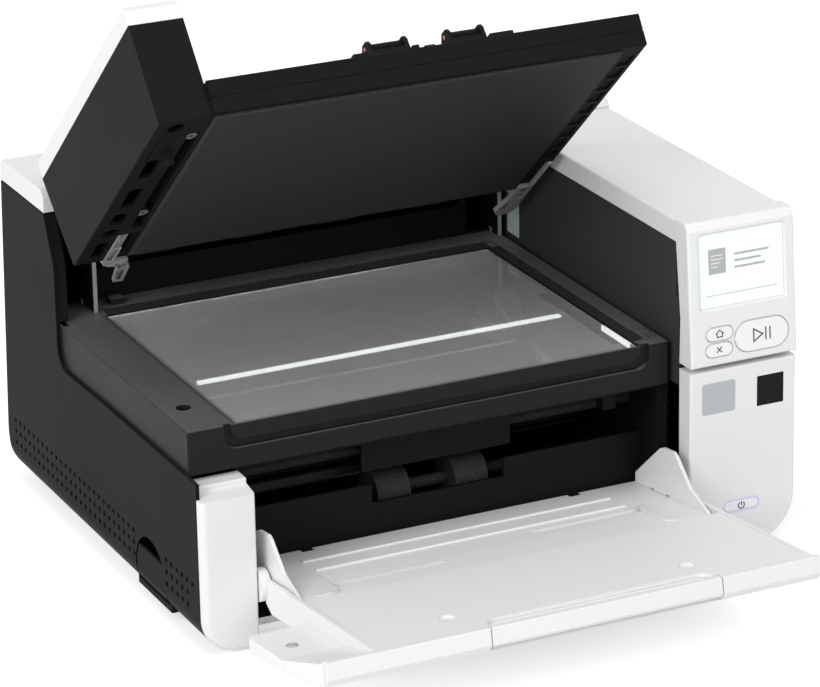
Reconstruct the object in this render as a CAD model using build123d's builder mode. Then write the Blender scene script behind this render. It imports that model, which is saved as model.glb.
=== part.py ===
from build123d import *
from math import atan2, cos, radians, sin
import os

# A wide desktop document scanner: sheet feeder and paper tray at the front, a flatbed
# with its own lid on top. Millimetres. X to the right, Y to the rear, Z up, and the
# origin on the table under the middle of the machine. The lid stands open and the tray
# is down.

# ---- driving dimensions --------------------------------------------------------------
half_width = 216  # outer face of each side
wall = 2.5  # moulded walls
table_gap = 3  # the floor of the body above the table
cover_front = -90  # face of the white pillar
body_front = -84.2  # front edge of the black side
rear_top = 251.3  # the back leans out towards its foot
tower_z = 222.4  # top of the black body
tower_foot = (155, 118.5)  # where the tower rises behind the flatbed, Y and Z
cap_front, cap_top = 168.5, 239

bed_x = (-213.3, 132.5)
bed_y = (-67, 192)
bed_z = (118, 147.5)
glass_x = (-178.5, 110)
glass_y = (-65.4, 156.5)
glass_top, glass_t = 146.5, 3

arm_left = 135.5  # left face of the right-hand arm and its covers
arm_top, skirt_z = 232.5, 218
module_z, module_top = 134.5, 233
seam_y = -68.6

hinge_y, hinge_z = 203.3, 219.65
lid_open = 41.52  # degrees from closed
lid_x = (-179, 126)
lid_z = (149.2, 159.1, 170.6)  # underside, groove, top
lid_arm_z = (148.2, 217, 232)  # underside, foot of the white cap, top
lid_rear, lid_rear_lean = 148.5, 0.1323

tray_y, tray_z = -85.3, 43
tray_tilt = 6.81  # degrees, rising to the front
tray_x = (-174, 131)
tray_top, tray_front = 3.5, 178.3  # above and in front of the pivot, along the tray
lip_low = -7.5  # foot of the front face of the tray, above the pivot
tray_split = (-98, 63)  # the pull-out middle of the tray
floor_start = 57.5  # the tray floor begins this far from its pivot
paper_mid = (tray_x[0] + tray_x[1]) / 2

guide_in = 95  # each paper guide travels this far inwards
pinion_r = 8
shaft_r = 4
running = 0.05  # radial play of a shaft in its bearing

# Roller shafts, Y and Z. Feed, drive and exit rollers share one belt with the motor.
feed_at, drive_at, exit_at = (-8, 88.2), (60, 81.8), (200.5, 180.2)
separation_at, pinch_at = (-8, 55.8), (60, 62.2)
motor_at = (140, 82)
feed_r, drive_r = 16, 9.6  # rubber tyres
pulley_r = 8
feed_pulley_r = pulley_r * feed_r / drive_r  # so that every tyre runs at the paper's speed


# ---- frames --------------------------------------------------------------------------
def tilted(angle, origin=(0, 0)):
    """Frame turned about X: its Y points back and down, its Z up and back."""
    turn = radians(angle)
    return Plane(origin=(0, *origin), x_dir=(1, 0, 0), z_dir=(0, sin(turn), cos(turn)))


def side_of(frame, x):
    """The YZ plane of a frame, at x."""
    return Plane(origin=frame.from_local_coords(Vector(x, 0, 0)), x_dir=frame.y_dir,
                 z_dir=frame.x_dir)


def block(x, y, z, mode=Mode.ADD):
    """Box between two limits on each axis of the working frame."""
    with Locations(((x[0] + x[1]) / 2, (y[0] + y[1]) / 2, (z[0] + z[1]) / 2)):
        Box(x[1] - x[0], y[1] - y[0], z[1] - z[0], mode=mode)


def rod(x, y, z, radius, mode=Mode.ADD):
    """Cylinder along X between two limits."""
    with Locations(Location((sum(x) / 2, y, z), (0, 90, 0))):
        Cylinder(radius, x[1] - x[0], mode=mode)


def edge_at(frame, y, z):
    """Picks the straight edges along X at y and z of a frame."""
    def chosen(edge):
        middle = frame.to_local_coords(edge.center())
        return (edge.geom_type == GeomType.LINE and abs(edge.tangent_at(0.5).X) > 0.999
                and abs(middle.Y - y) < 0.1 and abs(middle.Z - z) < 0.1)
    return chosen


turn = radians(lid_open)
lid = tilted(lid_open, (hinge_y - hinge_y * cos(turn) - hinge_z * sin(turn),
                        hinge_z + hinge_y * sin(turn) - hinge_z * cos(turn)))
tray = tilted(tray_tilt, (tray_y, tray_z))

face_bottom, face_top = (-92.8, module_z), (-85.4, 228)
face_lean = atan2(face_top[0] - face_bottom[0], face_top[1] - face_bottom[1])
face = Plane(origin=(0, *face_bottom), x_dir=(1, 0, 0),
             z_dir=(0, -cos(face_lean), sin(face_lean)))

# The back reaches as far behind the origin as the open tray does in front.
rear_low = -(tray.from_local_coords(Vector(0, -tray_front, lip_low)).Y)

# ---- base ----------------------------------------------------------------------------
pan_x, pan_y = 197.8, (-61.5, 233)
with BuildPart() as base_pan:
    block((-pan_x, pan_x), pan_y, (table_gap, 15))
    block((2 - pan_x, pan_x - 2), (pan_y[0] + 2, pan_y[1] - 2), (table_gap + wall, 16),
          Mode.SUBTRACT)
    block((-176, 134), (pan_y[0] - 1, pan_y[0] + 3), (8, 16), Mode.SUBTRACT)
base_pan.part.label = "base_pan"
export_step(base_pan.part, "parts/base_pan.step")

with BuildPart() as feet:
    with Locations([(x, y, table_gap / 2) for x in (-175, 175) for y in (-48, 220)]):
        Cylinder(9, table_gap)
    chamfer(feet.edges().filter_by(GeomType.CIRCLE).group_by(Axis.Z)[0], 0.8)
feet.part.label = "feet"
export_step(feet.part, "parts/feet.step")

# ---- side panels ---------------------------------------------------------------------
curl_r, corner_r = 18, 30  # the sides roll under; the rear foot is rounded
foot_z = 6
vent_pitch, vent_rows, vent_r = 8.8, (46.5, 38, 29.5), 1.9
rear_vents = [(247 - vent_pitch * i, z) for i in range(26) for z in vent_rows]
front_vents = [(-29 - vent_pitch * i, z) for i in range(5) for z in vent_rows]
paddle_mid, paddle_r = (-1, 24.4), 26
paddle_axis = (-209, 17.5)  # X and Z


def curled_wall(side, front):
    """Section of a side panel: upright wall, quarter-round foot, short floor."""
    out = side * half_width
    with BuildSketch(Plane.XZ.offset(-front)) as section:
        with BuildLine():
            Polyline((out - side * curl_r, foot_z), (out - side * curl_r, foot_z + wall))
            RadiusArc((out - side * curl_r, foot_z + wall),
                      (out - side * wall, foot_z + curl_r), -side * (curl_r - wall))
            Polyline((out - side * wall, foot_z + curl_r), (out - side * wall, tower_z),
                     (out, tower_z), (out, foot_z + curl_r))
            RadiusArc((out, foot_z + curl_r), (out - side * curl_r, foot_z), side * curl_r)
        make_face()
    return section.sketch


def rear_edge():
    """Back edge and rounded rear foot of the side outline, from the top down."""
    Line((rear_top, tower_z), (rear_low, foot_z + corner_r))
    RadiusArc((rear_low, foot_z + corner_r), (rear_low - corner_r, foot_z), corner_r)


with BuildPart() as left_side_panel:
    extrude(curled_wall(-1, body_front), amount=-(rear_low - body_front))
    with BuildSketch(Plane.YZ.offset(-half_width - 1)) as left_outline:
        with BuildLine():
            rear_edge()
            Polyline((rear_low - corner_r, foot_z), (body_front, foot_z), (body_front, 119),
                     (78, 119), (tower_foot[0] - 16, tower_foot[1] - 1))
            RadiusArc((tower_foot[0] - 16, tower_foot[1] - 1),
                      (tower_foot[0], tower_foot[1] + 15), -16)
            Polyline((tower_foot[0], tower_foot[1] + 15), (tower_foot[0], 189),
                     (170.5, tower_z), (rear_top, tower_z))
        make_face()
    extrude(amount=curl_r + 2, mode=Mode.INTERSECT)
    # A closed box behind the release paddle.
    block((-half_width + wall, -199), (-29.5, 27.5), (8.5, 53))
    block((-half_width + 0.5, -201), (-27.5, 25.5), (12.5, 51), Mode.SUBTRACT)
    with Locations(Location((paddle_axis[0], paddle_mid[0], paddle_axis[1]), (90, 0, 0))):
        Cylinder(1.5 + running, 56, mode=Mode.SUBTRACT)
    with BuildSketch(Plane.YZ.offset(-half_width - 1)) as paddle_opening:
        with Locations(paddle_mid):
            Circle(paddle_r)
        with Locations((paddle_mid[0], 0)):
            Rectangle(60, 26, mode=Mode.SUBTRACT)
    extrude(amount=12, mode=Mode.SUBTRACT)
    with BuildSketch(Plane.YZ.offset(-half_width - 1)) as panel_vents:
        with Locations(rear_vents + front_vents + [(-29 - vent_pitch * 5, vent_rows[0])]):
            Circle(vent_r)
    extrude(amount=wall + 2, mode=Mode.SUBTRACT)
left_side_panel.part.label = "left_side_panel"
export_step(left_side_panel.part, "parts/left_side_panel.step")

# Half of the paddle opening is filled by the paddle, which turns outwards on its lower edge.
with BuildPart() as side_paddle:
    with BuildSketch(Plane.YZ.offset(-half_width + 0.4)) as paddle_plate:
        with Locations(paddle_mid):
            Circle(paddle_r - 0.8)
        with Locations((paddle_mid[0], 0), (paddle_mid[0], 54)):
            Rectangle(60, 29, mode=Mode.SUBTRACT)
    extrude(amount=3.2)
    extrude(curled_wall(-1, -30), amount=-60, mode=Mode.INTERSECT)
    block((-half_width + 3, paddle_axis[0]), (-14, 12), (15, 20))
    with Locations(Location((paddle_axis[0], paddle_mid[0], paddle_axis[1]), (90, 0, 0))):
        Cylinder(3, 52)
        Cylinder(1.5, 55)
side_paddle.part.label = "side_paddle"
export_step(side_paddle.part, "parts/side_paddle.step")

with BuildPart() as right_side_panel:
    extrude(curled_wall(1, -76), amount=-(rear_low + 76))
    with BuildSketch(Plane.YZ.offset(half_width - curl_r - 1)) as right_outline:
        with BuildLine():
            rear_edge()
            Polyline((rear_low - corner_r, foot_z), (-76, foot_z), (-76, module_z),
                     (-76.6, 166), (-70.3, 217.6), (168, 217.6),
                     (170.5, tower_z), (rear_top, tower_z))
        make_face()
    extrude(amount=curl_r + 2, mode=Mode.INTERSECT)
    with BuildSketch(Plane.YZ.offset(half_width + 1)) as right_vents:
        with Locations(rear_vents):
            Circle(vent_r)
    extrude(amount=-wall - 2, mode=Mode.SUBTRACT)
right_side_panel.part.label = "right_side_panel"
export_step(right_side_panel.part, "parts/right_side_panel.step")

# ---- back ----------------------------------------------------------------------------
inside_x = half_width - wall - 0.3
inlet_at, usb_at = (150, 60), (105, 55)
with BuildPart() as rear_cover:
    with BuildSketch(Plane.YZ.offset(-inside_x)) as rear_section:
        with BuildLine():
            rear_edge()
            Polyline((rear_low - corner_r, foot_z), (rear_low - corner_r, foot_z + wall))
            RadiusArc((rear_low - corner_r, foot_z + wall),
                      (rear_low - wall, foot_z + corner_r), wall - corner_r)
            Polyline((rear_low - wall, foot_z + corner_r), (rear_top - wall, tower_z),
                     (rear_top, tower_z))
        make_face()
    extrude(amount=2 * inside_x)
    # The lower corners follow the inside of the curled sides.
    with BuildSketch(Plane.XZ.offset(-rear_low - 1)) as rear_outline:
        Rectangle(2 * pan_x, 2 * foot_z + 40)
        with Locations((0, foot_z + wall + 0.2)):
            RectangleRounded(2 * inside_x, 2 * 240, curl_r - wall - 0.3, align=(Align.CENTER, Align.MIN))
    extrude(amount=30, mode=Mode.INTERSECT)
    with BuildSketch(Plane.XZ.offset(-rear_low - 1)) as rear_openings:
        with Locations(inlet_at):
            RectangleRounded(28.4, 20.4, 0.6)
        with Locations(usb_at):
            Rectangle(12.4, 11.4)
        with Locations(*[(x, z) for x in range(-150, 31, 9) for z in (70, 100)]):
            SlotOverall(22, 3, rotation=90)
    extrude(amount=16, mode=Mode.SUBTRACT)
rear_cover.part.label = "rear_cover"
export_step(rear_cover.part, "parts/rear_cover.step")

with BuildPart() as rear_sockets:
    block((136.2, 163.8), (236, 261), (50.2, 69.8))
    block((138.5, 161.5), (243, 262), (52.5, 67.5), Mode.SUBTRACT)
    for x in (145, 150, 155):
        block((x - 1, x + 1), (242, 256), (58, 62))
    block((99.2, 110.8), (240, 261), (49.7, 60.3))
    block((100.6, 109.4), (246, 262), (51, 59), Mode.SUBTRACT)
    block((102, 108), (245, 257), (53.6, 56.4))
rear_sockets.part.label = "rear_sockets"
export_step(rear_sockets.part, "parts/rear_sockets.step")

# ---- tower ---------------------------------------------------------------------------
cap_z = 223.5
with BuildPart() as tower_cap:
    with BuildSketch(Plane.YZ.offset(-half_width)) as cap_section:
        with BuildLine():
            Polyline((cap_front, cap_z), (cap_front, 233.8), (cap_front + 5, cap_top),
                     (rear_top - 5, cap_top), (rear_top, 233.8), (rear_top, cap_z), close=True)
        make_face()
    extrude(amount=2 * half_width)
    chamfer(tower_cap.faces().sort_by(Axis.X)[-1].edges().filter_by(GeomType.LINE)
            .sort_by(Axis.Z)[1:], 2.5)
    fillet(tower_cap.edges().filter_by(Axis.X).group_by(Axis.Z)[-1], 1)
    with BuildSketch(Plane.YZ.offset(-half_width + 2.2)) as cap_hollow:
        with BuildLine():
            Polyline((cap_front + 2.2, cap_z), (cap_front + 2.2, 232.9),
                     (cap_front + 6, cap_top - 2.4), (rear_top - 6, cap_top - 2.4),
                     (rear_top - 2.2, 232.9), (rear_top - 2.2, cap_z), close=True)
        make_face()
    extrude(amount=2 * half_width - 6, mode=Mode.SUBTRACT)
tower_cap.part.label = "tower_cap"
export_step(tower_cap.part, "parts/tower_cap.step")

front_wall_y = 192.4
slot_left, slot_right = (-193.6, -180.4), (111.4, 132.4)
exit_z = 190  # paper leaves the tower at this height
with BuildPart() as tower_front:
    block((-inside_x, arm_left - 1.5), (front_wall_y, front_wall_y + 2.4), (118.4, cap_z))
    # The cheek at the left closes the end of the tower.
    with BuildSketch(Plane.YZ.offset(-inside_x)) as cheek:
        with BuildLine():
            Polyline((tower_foot[0] + 0.6, 149), (tower_foot[0] + 0.6, 189), (171, tower_z),
                     (front_wall_y, tower_z), (front_wall_y, 149), close=True)
        make_face()
    extrude(amount=inside_x - 207)
    for slot in (slot_left, slot_right):
        block(slot, (180, 240), (147.9, cap_z + 1), Mode.SUBTRACT)
    block((-172, 106), (180, 200), (exit_z - 21, exit_z + 8), Mode.SUBTRACT)
    block((-205, -195.5), (front_wall_y - 1.5, front_wall_y), (152, 214))
tower_front.part.label = "tower_front"
export_step(tower_front.part, "parts/tower_front.step")

# ---- white covers at the front -------------------------------------------------------
pillar_x, pillar_low = (-half_width, -178), 1.2
pivot_r, bush_r = 3, 11
with BuildPart() as left_pillar:
    with BuildSketch(Plane.YZ.offset(pillar_x[0])) as pillar_section:
        with BuildLine():
            Polyline((cover_front, pillar_low), (cover_front, 107.8), (-76, 110.4), (-76, 113.7),
                     (pan_y[0], 113.7), (pan_y[0], pillar_low), close=True)
        make_face()
    extrude(amount=pillar_x[1] - pillar_x[0])
    with BuildSketch(Plane.XZ.offset(60)) as pillar_outline:
        with BuildLine():
            Polyline((pillar_x[0] + 25, pillar_low), (pillar_x[1], pillar_low),
                     (pillar_x[1], 120), (pillar_x[0], 120), (pillar_x[0], pillar_low + 25))
            RadiusArc((pillar_x[0], pillar_low + 25), (pillar_x[0] + 25, pillar_low), -25)
        make_face()
    extrude(amount=40, mode=Mode.INTERSECT)
    fillet(left_pillar.edges().filter_by(Axis.Z).group_by(Axis.Y)[0].sort_by(Axis.X)[0], 5)
    fillet(left_pillar.edges().filter_by(Axis.Z).group_by(Axis.Y)[0].sort_by(Axis.X)[-1], 1.5)
    fillet(left_pillar.edges().filter_by(Axis.X).group_by(Axis.Z)[-1], 0.8)
    # Behind its face the cover tucks inside the black side.
    block((-220, -213.2), (body_front - 0.4, -50), (0, 120), Mode.SUBTRACT)
    block((-220, -197.6), (body_front - 0.4, -50), (0, 24.2), Mode.SUBTRACT)
    block((-211, -180.5), (cover_front + wall, -60), (4, 105.5), Mode.SUBTRACT)
    rod((-181, -177), tray_y, tray_z, pivot_r + running, Mode.SUBTRACT)
left_pillar.part.label = "left_pillar"
export_step(left_pillar.part, "parts/left_pillar.step")

panel_face, panel_back, panel_top = -91, -76, 130.6
power_at, power_size = (175, 30.3), (26, 6.6)
with BuildPart() as right_lower_panel:
    with BuildSketch(Plane.XZ.offset(-panel_back)) as lower_outline:
        with BuildLine():
            Polyline((half_width - 31, pillar_low), (arm_left + 8, pillar_low))
            RadiusArc((arm_left + 8, pillar_low), (arm_left, pillar_low + 8), 8)
            Polyline((arm_left, pillar_low + 8), (arm_left, panel_top),
                     (half_width, panel_top), (half_width, pillar_low + 31))
            RadiusArc((half_width, pillar_low + 31), (half_width - 31, pillar_low), 31)
        make_face()
    extrude(amount=panel_back - panel_face)
    fillet(right_lower_panel.faces().sort_by(Axis.Y)[0].edges(), 1.8)
    with BuildSketch(Plane.XZ.offset(-panel_back)) as lower_hollow:
        add(lower_outline.sketch)
        offset(amount=-wall, mode=Mode.REPLACE)
    extrude(amount=panel_back - panel_face - wall, mode=Mode.SUBTRACT)
    with BuildSketch(Plane.XZ.offset(-panel_face)) as power_opening:
        with Locations(power_at):
            SlotOverall(power_size[0] + 2.8, power_size[1] + 2.8)
    extrude(amount=-wall - 1, both=True, mode=Mode.SUBTRACT)
    rod((arm_left - 1, arm_left + 3), tray_y, tray_z, pivot_r + running, Mode.SUBTRACT)
right_lower_panel.part.label = "right_lower_panel"
export_step(right_lower_panel.part, "parts/right_lower_panel.step")

with BuildPart() as power_ring:
    with BuildSketch(Plane.XZ.offset(-panel_face - 0.2)) as ring:
        with Locations(power_at):
            SlotOverall(power_size[0] + 2.8, power_size[1] + 2.8)
            SlotOverall(power_size[0] + 0.6, power_size[1] + 0.6, mode=Mode.SUBTRACT)
    extrude(amount=-3)
power_ring.part.label = "power_ring"
export_step(power_ring.part, "parts/power_ring.step")

with BuildPart() as power_button:
    with BuildSketch(Plane.XZ.offset(-panel_face + 0.3)) as power_cap:
        with Locations(power_at):
            SlotOverall(*power_size)
    extrude(amount=-4)
    fillet(power_button.faces().sort_by(Axis.Y)[0].edges(), 0.6)
power_button.part.label = "power_button"
export_step(power_button.part, "parts/power_button.step")

with BuildPart() as display_bezel:
    with BuildSketch(Plane.YZ.offset(arm_left)) as module_section:
        with BuildLine():
            Polyline(face_bottom, face_top, (-81.6, module_top), (seam_y - 0.3, module_top),
                     (seam_y - 0.3, skirt_z), (-70.7, skirt_z), (-77, 166),
                     (-76, module_z), close=True)
        make_face()
    extrude(amount=half_width - arm_left)
    fillet(display_bezel.faces().sort_by(Axis.Y)[0].edges(), 1.8)
    with BuildSketch(Plane.YZ.offset(arm_left + wall)) as module_hollow:
        with BuildLine():
            Polyline((-89.9, module_z + wall), (-82.6, 227), (-80.2, module_top - wall),
                     (-50, module_top - wall), (-50, module_z + wall), close=True)
        make_face()
    extrude(amount=half_width - arm_left - 2 * wall, mode=Mode.SUBTRACT)
    screen_mid, screen_size = (176, 64.9), (64, 50.6)
    with BuildSketch(face.offset(1)) as screen_opening:
        with Locations(screen_mid):
            RectangleRounded(*screen_size, 1)
    extrude(amount=-6, mode=Mode.SUBTRACT)
    chamfer(display_bezel.edges().filter_by(lambda e: e.geom_type == GeomType.LINE
            and abs(face.to_local_coords(e.center()).Z) < 0.01
            and abs(face.to_local_coords(e.center()).Y - screen_mid[1]) < 27
            and abs(e.center().X - screen_mid[0]) < 33), 1.2)
    home_at, cancel_at, start_at = (157.2, 21.8), (156.6, 10.9), (189, 16.4)
    small_key, large_key = (20.4, 9.6), (41, 21.6)
    with BuildSketch(face.offset(1)) as key_openings:
        for at in (home_at, cancel_at):
            with Locations(at):
                SlotOverall(small_key[0] + 0.5, small_key[1] + 0.5)
        with Locations(start_at):
            SlotOverall(large_key[0] + 0.5, large_key[1] + 0.5)
    extrude(amount=-6, mode=Mode.SUBTRACT)
display_bezel.part.label = "display_bezel"
export_step(display_bezel.part, "parts/display_bezel.step")

with BuildPart() as display_screen:
    with BuildSketch(face.offset(-1.6)) as screen:
        with Locations(screen_mid):
            RectangleRounded(screen_size[0] - 0.3, screen_size[1] - 0.3, 1)
    extrude(amount=-5)
display_screen.part.label = "display_screen"
export_step(display_screen.part, "parts/display_screen.step")

for name, at, size in (("home_button", home_at, small_key), ("cancel_button", cancel_at, small_key),
                       ("start_button", start_at, large_key)):
    with BuildPart() as key:
        with BuildSketch(face.offset(0.4)) as key_outline:
            with Locations(at):
                SlotOverall(*size)
        extrude(amount=-4.4)
        fillet(key.faces().sort_by(Axis.Y)[0].edges(), 0.8)
    key.part.label = name
    export_step(key.part, f"parts/{name}.step")

# ---- right arm -----------------------------------------------------------------------
with BuildPart() as arm_inner_wall:
    block((136, 138.4), (-73.6, front_wall_y - 0.4), (118, skirt_z - 0.3))
    block((135, 139), (-80, -70.2), (180, 240), Mode.SUBTRACT)
    block((138.4, 150), (-72, -69), (137.5, 178))
arm_inner_wall.part.label = "arm_inner_wall"
export_step(arm_inner_wall.part, "parts/arm_inner_wall.step")

with BuildPart() as arm_top_cover:
    block((arm_left, half_width), (seam_y, 167.8), (skirt_z, arm_top))
    chamfer(arm_top_cover.edges().filter_by(Axis.Y).group_by(Axis.Z)[-1].sort_by(Axis.X)[-1], 3)
    fillet(arm_top_cover.edges().filter_by(Axis.Y).group_by(Axis.Z)[-1].sort_by(Axis.X)[0], 1.5)
    block((arm_left + wall, half_width - wall), (seam_y + 0.8, 165.6),
          (skirt_z - 1, arm_top - wall), Mode.SUBTRACT)
arm_top_cover.part.label = "arm_top_cover"
export_step(arm_top_cover.part, "parts/arm_top_cover.step")

# ---- flatbed -------------------------------------------------------------------------
lip_x, lip_z = (-183, 111), 137  # tongue under the front edge of the glass
step_x, step_y = (-181.5, 119.5), (-60, 170)  # shallow step round the glass
with BuildPart() as flatbed_bezel:
    block(bed_x, bed_y, bed_z)
    chamfer(flatbed_bezel.edges().filter_by(Axis.Y).group_by(Axis.Z)[-1], 0.8)
    fillet(flatbed_bezel.edges().filter_by(Axis.Z).group_by(Axis.Y)[0], 1.5)
    block((bed_x[0] + wall, bed_x[1] - wall), (bed_y[0] + wall, bed_y[1] - wall),
          (bed_z[0] - 1, 131), Mode.SUBTRACT)
    block((bed_x[0] + wall, bed_x[1] - wall), (bed_y[0] + 5.6, bed_y[1] - wall),
          (130, bed_z[1] - 3), Mode.SUBTRACT)
    # Glass window with a sloped edge on three sides.
    block((glass_x[0] - 0.2, glass_x[1] + 0.2), (glass_y[0] - 0.2, glass_y[1] + 0.2),
          (140, 150), Mode.SUBTRACT)
    chamfer(flatbed_bezel.edges().filter_by(lambda e: e.geom_type == GeomType.LINE
            and abs(e.center().Z - bed_z[1]) < 0.01 and e.center().Y > -60
            and -181 < e.center().X < 113 and e.length > 100), 2.6)
    # Finger groove round the tongue.
    with BuildSketch(Plane.XZ.offset(-bed_y[0] + 1)) as groove:
        with Locations(((lip_x[0] + lip_x[1]) / 2 + 1, 131)):
            RectangleRounded(lip_x[1] - lip_x[0] + 12, 50, 9, align=(Align.CENTER, Align.MIN))
        with Locations(((lip_x[0] + lip_x[1]) / 2, lip_z)):
            RectangleRounded(lip_x[1] - lip_x[0], 50, 7, align=(Align.CENTER, Align.MIN),
                             mode=Mode.SUBTRACT)
    extrude(amount=-4.4, mode=Mode.SUBTRACT)
    with BuildSketch(Plane.XY.offset(bed_z[1] - 0.6)) as step_outline:
        with Locations((sum(step_x) / 2, sum(step_y) / 2)):
            RectangleRounded(step_x[1] - step_x[0], step_y[1] - step_y[0], 8)
    extrude(amount=2, mode=Mode.SUBTRACT)
    # Hole for the lid's locating post, lid switch, and ledges under the glass.
    with Locations((-198.3, -25, bed_z[1])):
        Cylinder(5, 12, mode=Mode.SUBTRACT)
    block((-169, -159), (173, 181), (bed_z[1], bed_z[1] + 4.5))
    block((-212, -208), (150, 172), (bed_z[1] - 4, bed_z[1] + 1), Mode.SUBTRACT)
flatbed_bezel.part.label = "flatbed_bezel"
export_step(flatbed_bezel.part, "parts/flatbed_bezel.step")

rod_at = (-150, 127.5)
bed_inner_x, bed_inner_y = (bed_x[0] + 2.7, bed_x[1] - 2.7), (-61, 189.2)
with BuildPart() as flatbed_tub:
    block(bed_inner_x, bed_inner_y, (116, glass_top - glass_t))
    block((bed_inner_x[0] + 2, bed_inner_x[1] - 2), (bed_inner_y[0] + 2, bed_inner_y[1] - 2),
          (118, 150), Mode.SUBTRACT)
    for y in bed_inner_y:
        with Locations(Location((rod_at[0], y, rod_at[1]), (90, 0, 0))):
            Cylinder(shaft_r, 8, mode=Mode.SUBTRACT)
    for x in ((-177.4, -175.2), (107.8, 109.8)):
        block(x, (-56, 150), (116, glass_top - glass_t))
flatbed_tub.part.label = "flatbed_tub"
export_step(flatbed_tub.part, "parts/flatbed_tub.step")

with BuildPart() as flatbed_glass:
    block(glass_x, glass_y, (glass_top - glass_t, glass_top))
flatbed_glass.part.label = "flatbed_glass"
export_step(flatbed_glass.part, "parts/flatbed_glass.step")

with BuildPart() as reference_strip:
    block((99, 107), (-52, 60), (glass_top - glass_t - 0.6, glass_top - glass_t))
reference_strip.part.label = "reference_strip"
export_step(reference_strip.part, "parts/reference_strip.step")

carriage_y, lamp_y = (2, 40), 21
belt_x, belt_z = (-131, -125), 124
with BuildPart() as scan_carriage:
    block((-174.6, 107), carriage_y, (122.4, 141))
    block((-170, 98), (lamp_y - 4, lamp_y + 4), (134, 142), Mode.SUBTRACT)
    block((-168, 96), (lamp_y + 9, lamp_y + 15), (134, 142), Mode.SUBTRACT)
    block((belt_x[0] - 2, belt_x[1] + 3.5), (carriage_y[0] - 1, carriage_y[1] + 1),
          (122, 130), Mode.SUBTRACT)
    with Locations(Location((rod_at[0], sum(carriage_y) / 2, rod_at[1]), (90, 0, 0))):
        Cylinder(shaft_r + running, 60, mode=Mode.SUBTRACT)
scan_carriage.part.label = "scan_carriage"
export_step(scan_carriage.part, "parts/scan_carriage.step")

with BuildPart() as lamp_bar:
    block((-169, 97), (lamp_y - 2.4, lamp_y + 2.4), (134, 141.6))
lamp_bar.part.label = "lamp_bar"
export_step(lamp_bar.part, "parts/lamp_bar.step")

with BuildPart() as drive_belts:
    # Toothed loop that pulls the carriage, lying on its side along the flatbed.
    with BuildSketch(Plane.YZ.offset(belt_x[0])) as carriage_loop:
        with Locations((64, belt_z)):
            SlotOverall(214, 9.6)
            SlotOverall(211.4, 7, mode=Mode.SUBTRACT)
    extrude(amount=belt_x[1] - belt_x[0])
    # Loop that drives the rollers of the feeder.
    belt_stops = ((feed_at, feed_pulley_r), (drive_at, pulley_r), (motor_at, pulley_r),
                  (exit_at, pulley_r))
    with BuildSketch(Plane.YZ.offset(140)) as feed_loop:
        with BuildSketch(mode=Mode.PRIVATE) as outer_hull:
            for stop, radius in belt_stops:
                with Locations(stop):
                    Circle(radius + 1.7)
            make_hull()
        with BuildSketch(mode=Mode.PRIVATE) as inner_hull:
            for stop, radius in belt_stops:
                with Locations(stop):
                    Circle(radius + 0.4)
            make_hull()
        add(outer_hull.sketch)
        add(inner_hull.sketch, mode=Mode.SUBTRACT)
    extrude(amount=5)
drive_belts.part.label = "drive_belts"
export_step(drive_belts.part, "parts/drive_belts.step")

with BuildPart() as drive_motors:
    block((149, 180), (motor_at[0] - 21, motor_at[0] + 21), (motor_at[1] - 21, motor_at[1] + 21))
    rod((139.5, 147.5), *motor_at, pulley_r)
    rod((147.5, 149), *motor_at, 11)
    rod((-124.4, -100), 166.2, belt_z, 6)
    rod((-132, -124.4), 166.2, belt_z, 3.1)
    rod((-132, -122), -38.2, belt_z, 3.1)
    block((-124.4, -122), (-42, -34), (118, 127))
drive_motors.part.label = "drive_motors"
export_step(drive_motors.part, "parts/drive_motors.step")

with BuildPart() as carriage_rod:
    with Locations(Location((rod_at[0], sum(bed_inner_y) / 2, rod_at[1]), (90, 0, 0))):
        Cylinder(shaft_r, bed_inner_y[1] - bed_inner_y[0] - 0.4)
carriage_rod.part.label = "carriage_rod"
export_step(carriage_rod.part, "parts/carriage_rod.step")

# ---- lid -----------------------------------------------------------------------------
# Everything on the lid is drawn in the place that it has when the lid is shut, and the
# lid frame turns it open.
slope = -3.2 / (lid_z[2] - lid_z[0])  # the front edge overhangs towards the top
arm_x = (-half_width, lid_x[0])
hinge_strip_left, hinge_strip_right = (-195.6, -187), (112.6, 125)


def lid_front(z):
    return -70.6 + slope * (z - lid_z[0])


def lid_back(z):
    return lid_rear + lid_rear_lean * (z - lid_arm_z[0])


with BuildPart(lid) as lid_shell:
    with BuildSketch(side_of(lid, lid_x[0])) as shell_section:
        with BuildLine():
            Polyline((lid_front(lid_z[0]), lid_z[0]), (lid_back(lid_z[0]), lid_z[0]),
                     (lid_back(lid_z[1]), lid_z[1] - 0.4), (lid_front(lid_z[1]), lid_z[1] - 0.4),
                     close=True)
        make_face()
    extrude(amount=lid_x[1] - lid_x[0])
    fillet(lid_shell.edges().filter_by(edge_at(lid, lid_front(lid_z[0]), lid_z[0])), 0.8)
    block((lid_x[0] + wall, lid_x[1] - wall), (-67.6, 145.6), (lid_z[0] + 3.5, 170),
          Mode.SUBTRACT)
    # Ribbed channel along the right of the underside.
    for i in range(9):
        block((114, 123), (-56 + 18 * i, -41 + 18 * i), (lid_z[0] - 1, lid_z[0] + 1.5),
              Mode.SUBTRACT)
    # Recess of the right-hand hinge arm, with a tube for a screw beside it.
    block((hinge_strip_right[0] - 0.3, lid_x[1] + 1), (107.6, 160),
          (lid_z[0] - 1, lid_z[0] + 2.2), Mode.SUBTRACT)
    block((hinge_strip_right[0] - 2, lid_x[1] - 1), (105.6, 147), (lid_z[0] + 2.2, lid_z[0] + 5))
    with Locations((116.4, 129, lid_z[0] + 1.4)):
        Cylinder(2.9, 2)
        Cylinder(1.6, 2, mode=Mode.SUBTRACT)
lid_shell.part.label = "lid_shell"
export_step(lid_shell.part, "parts/lid_shell.step")

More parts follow.
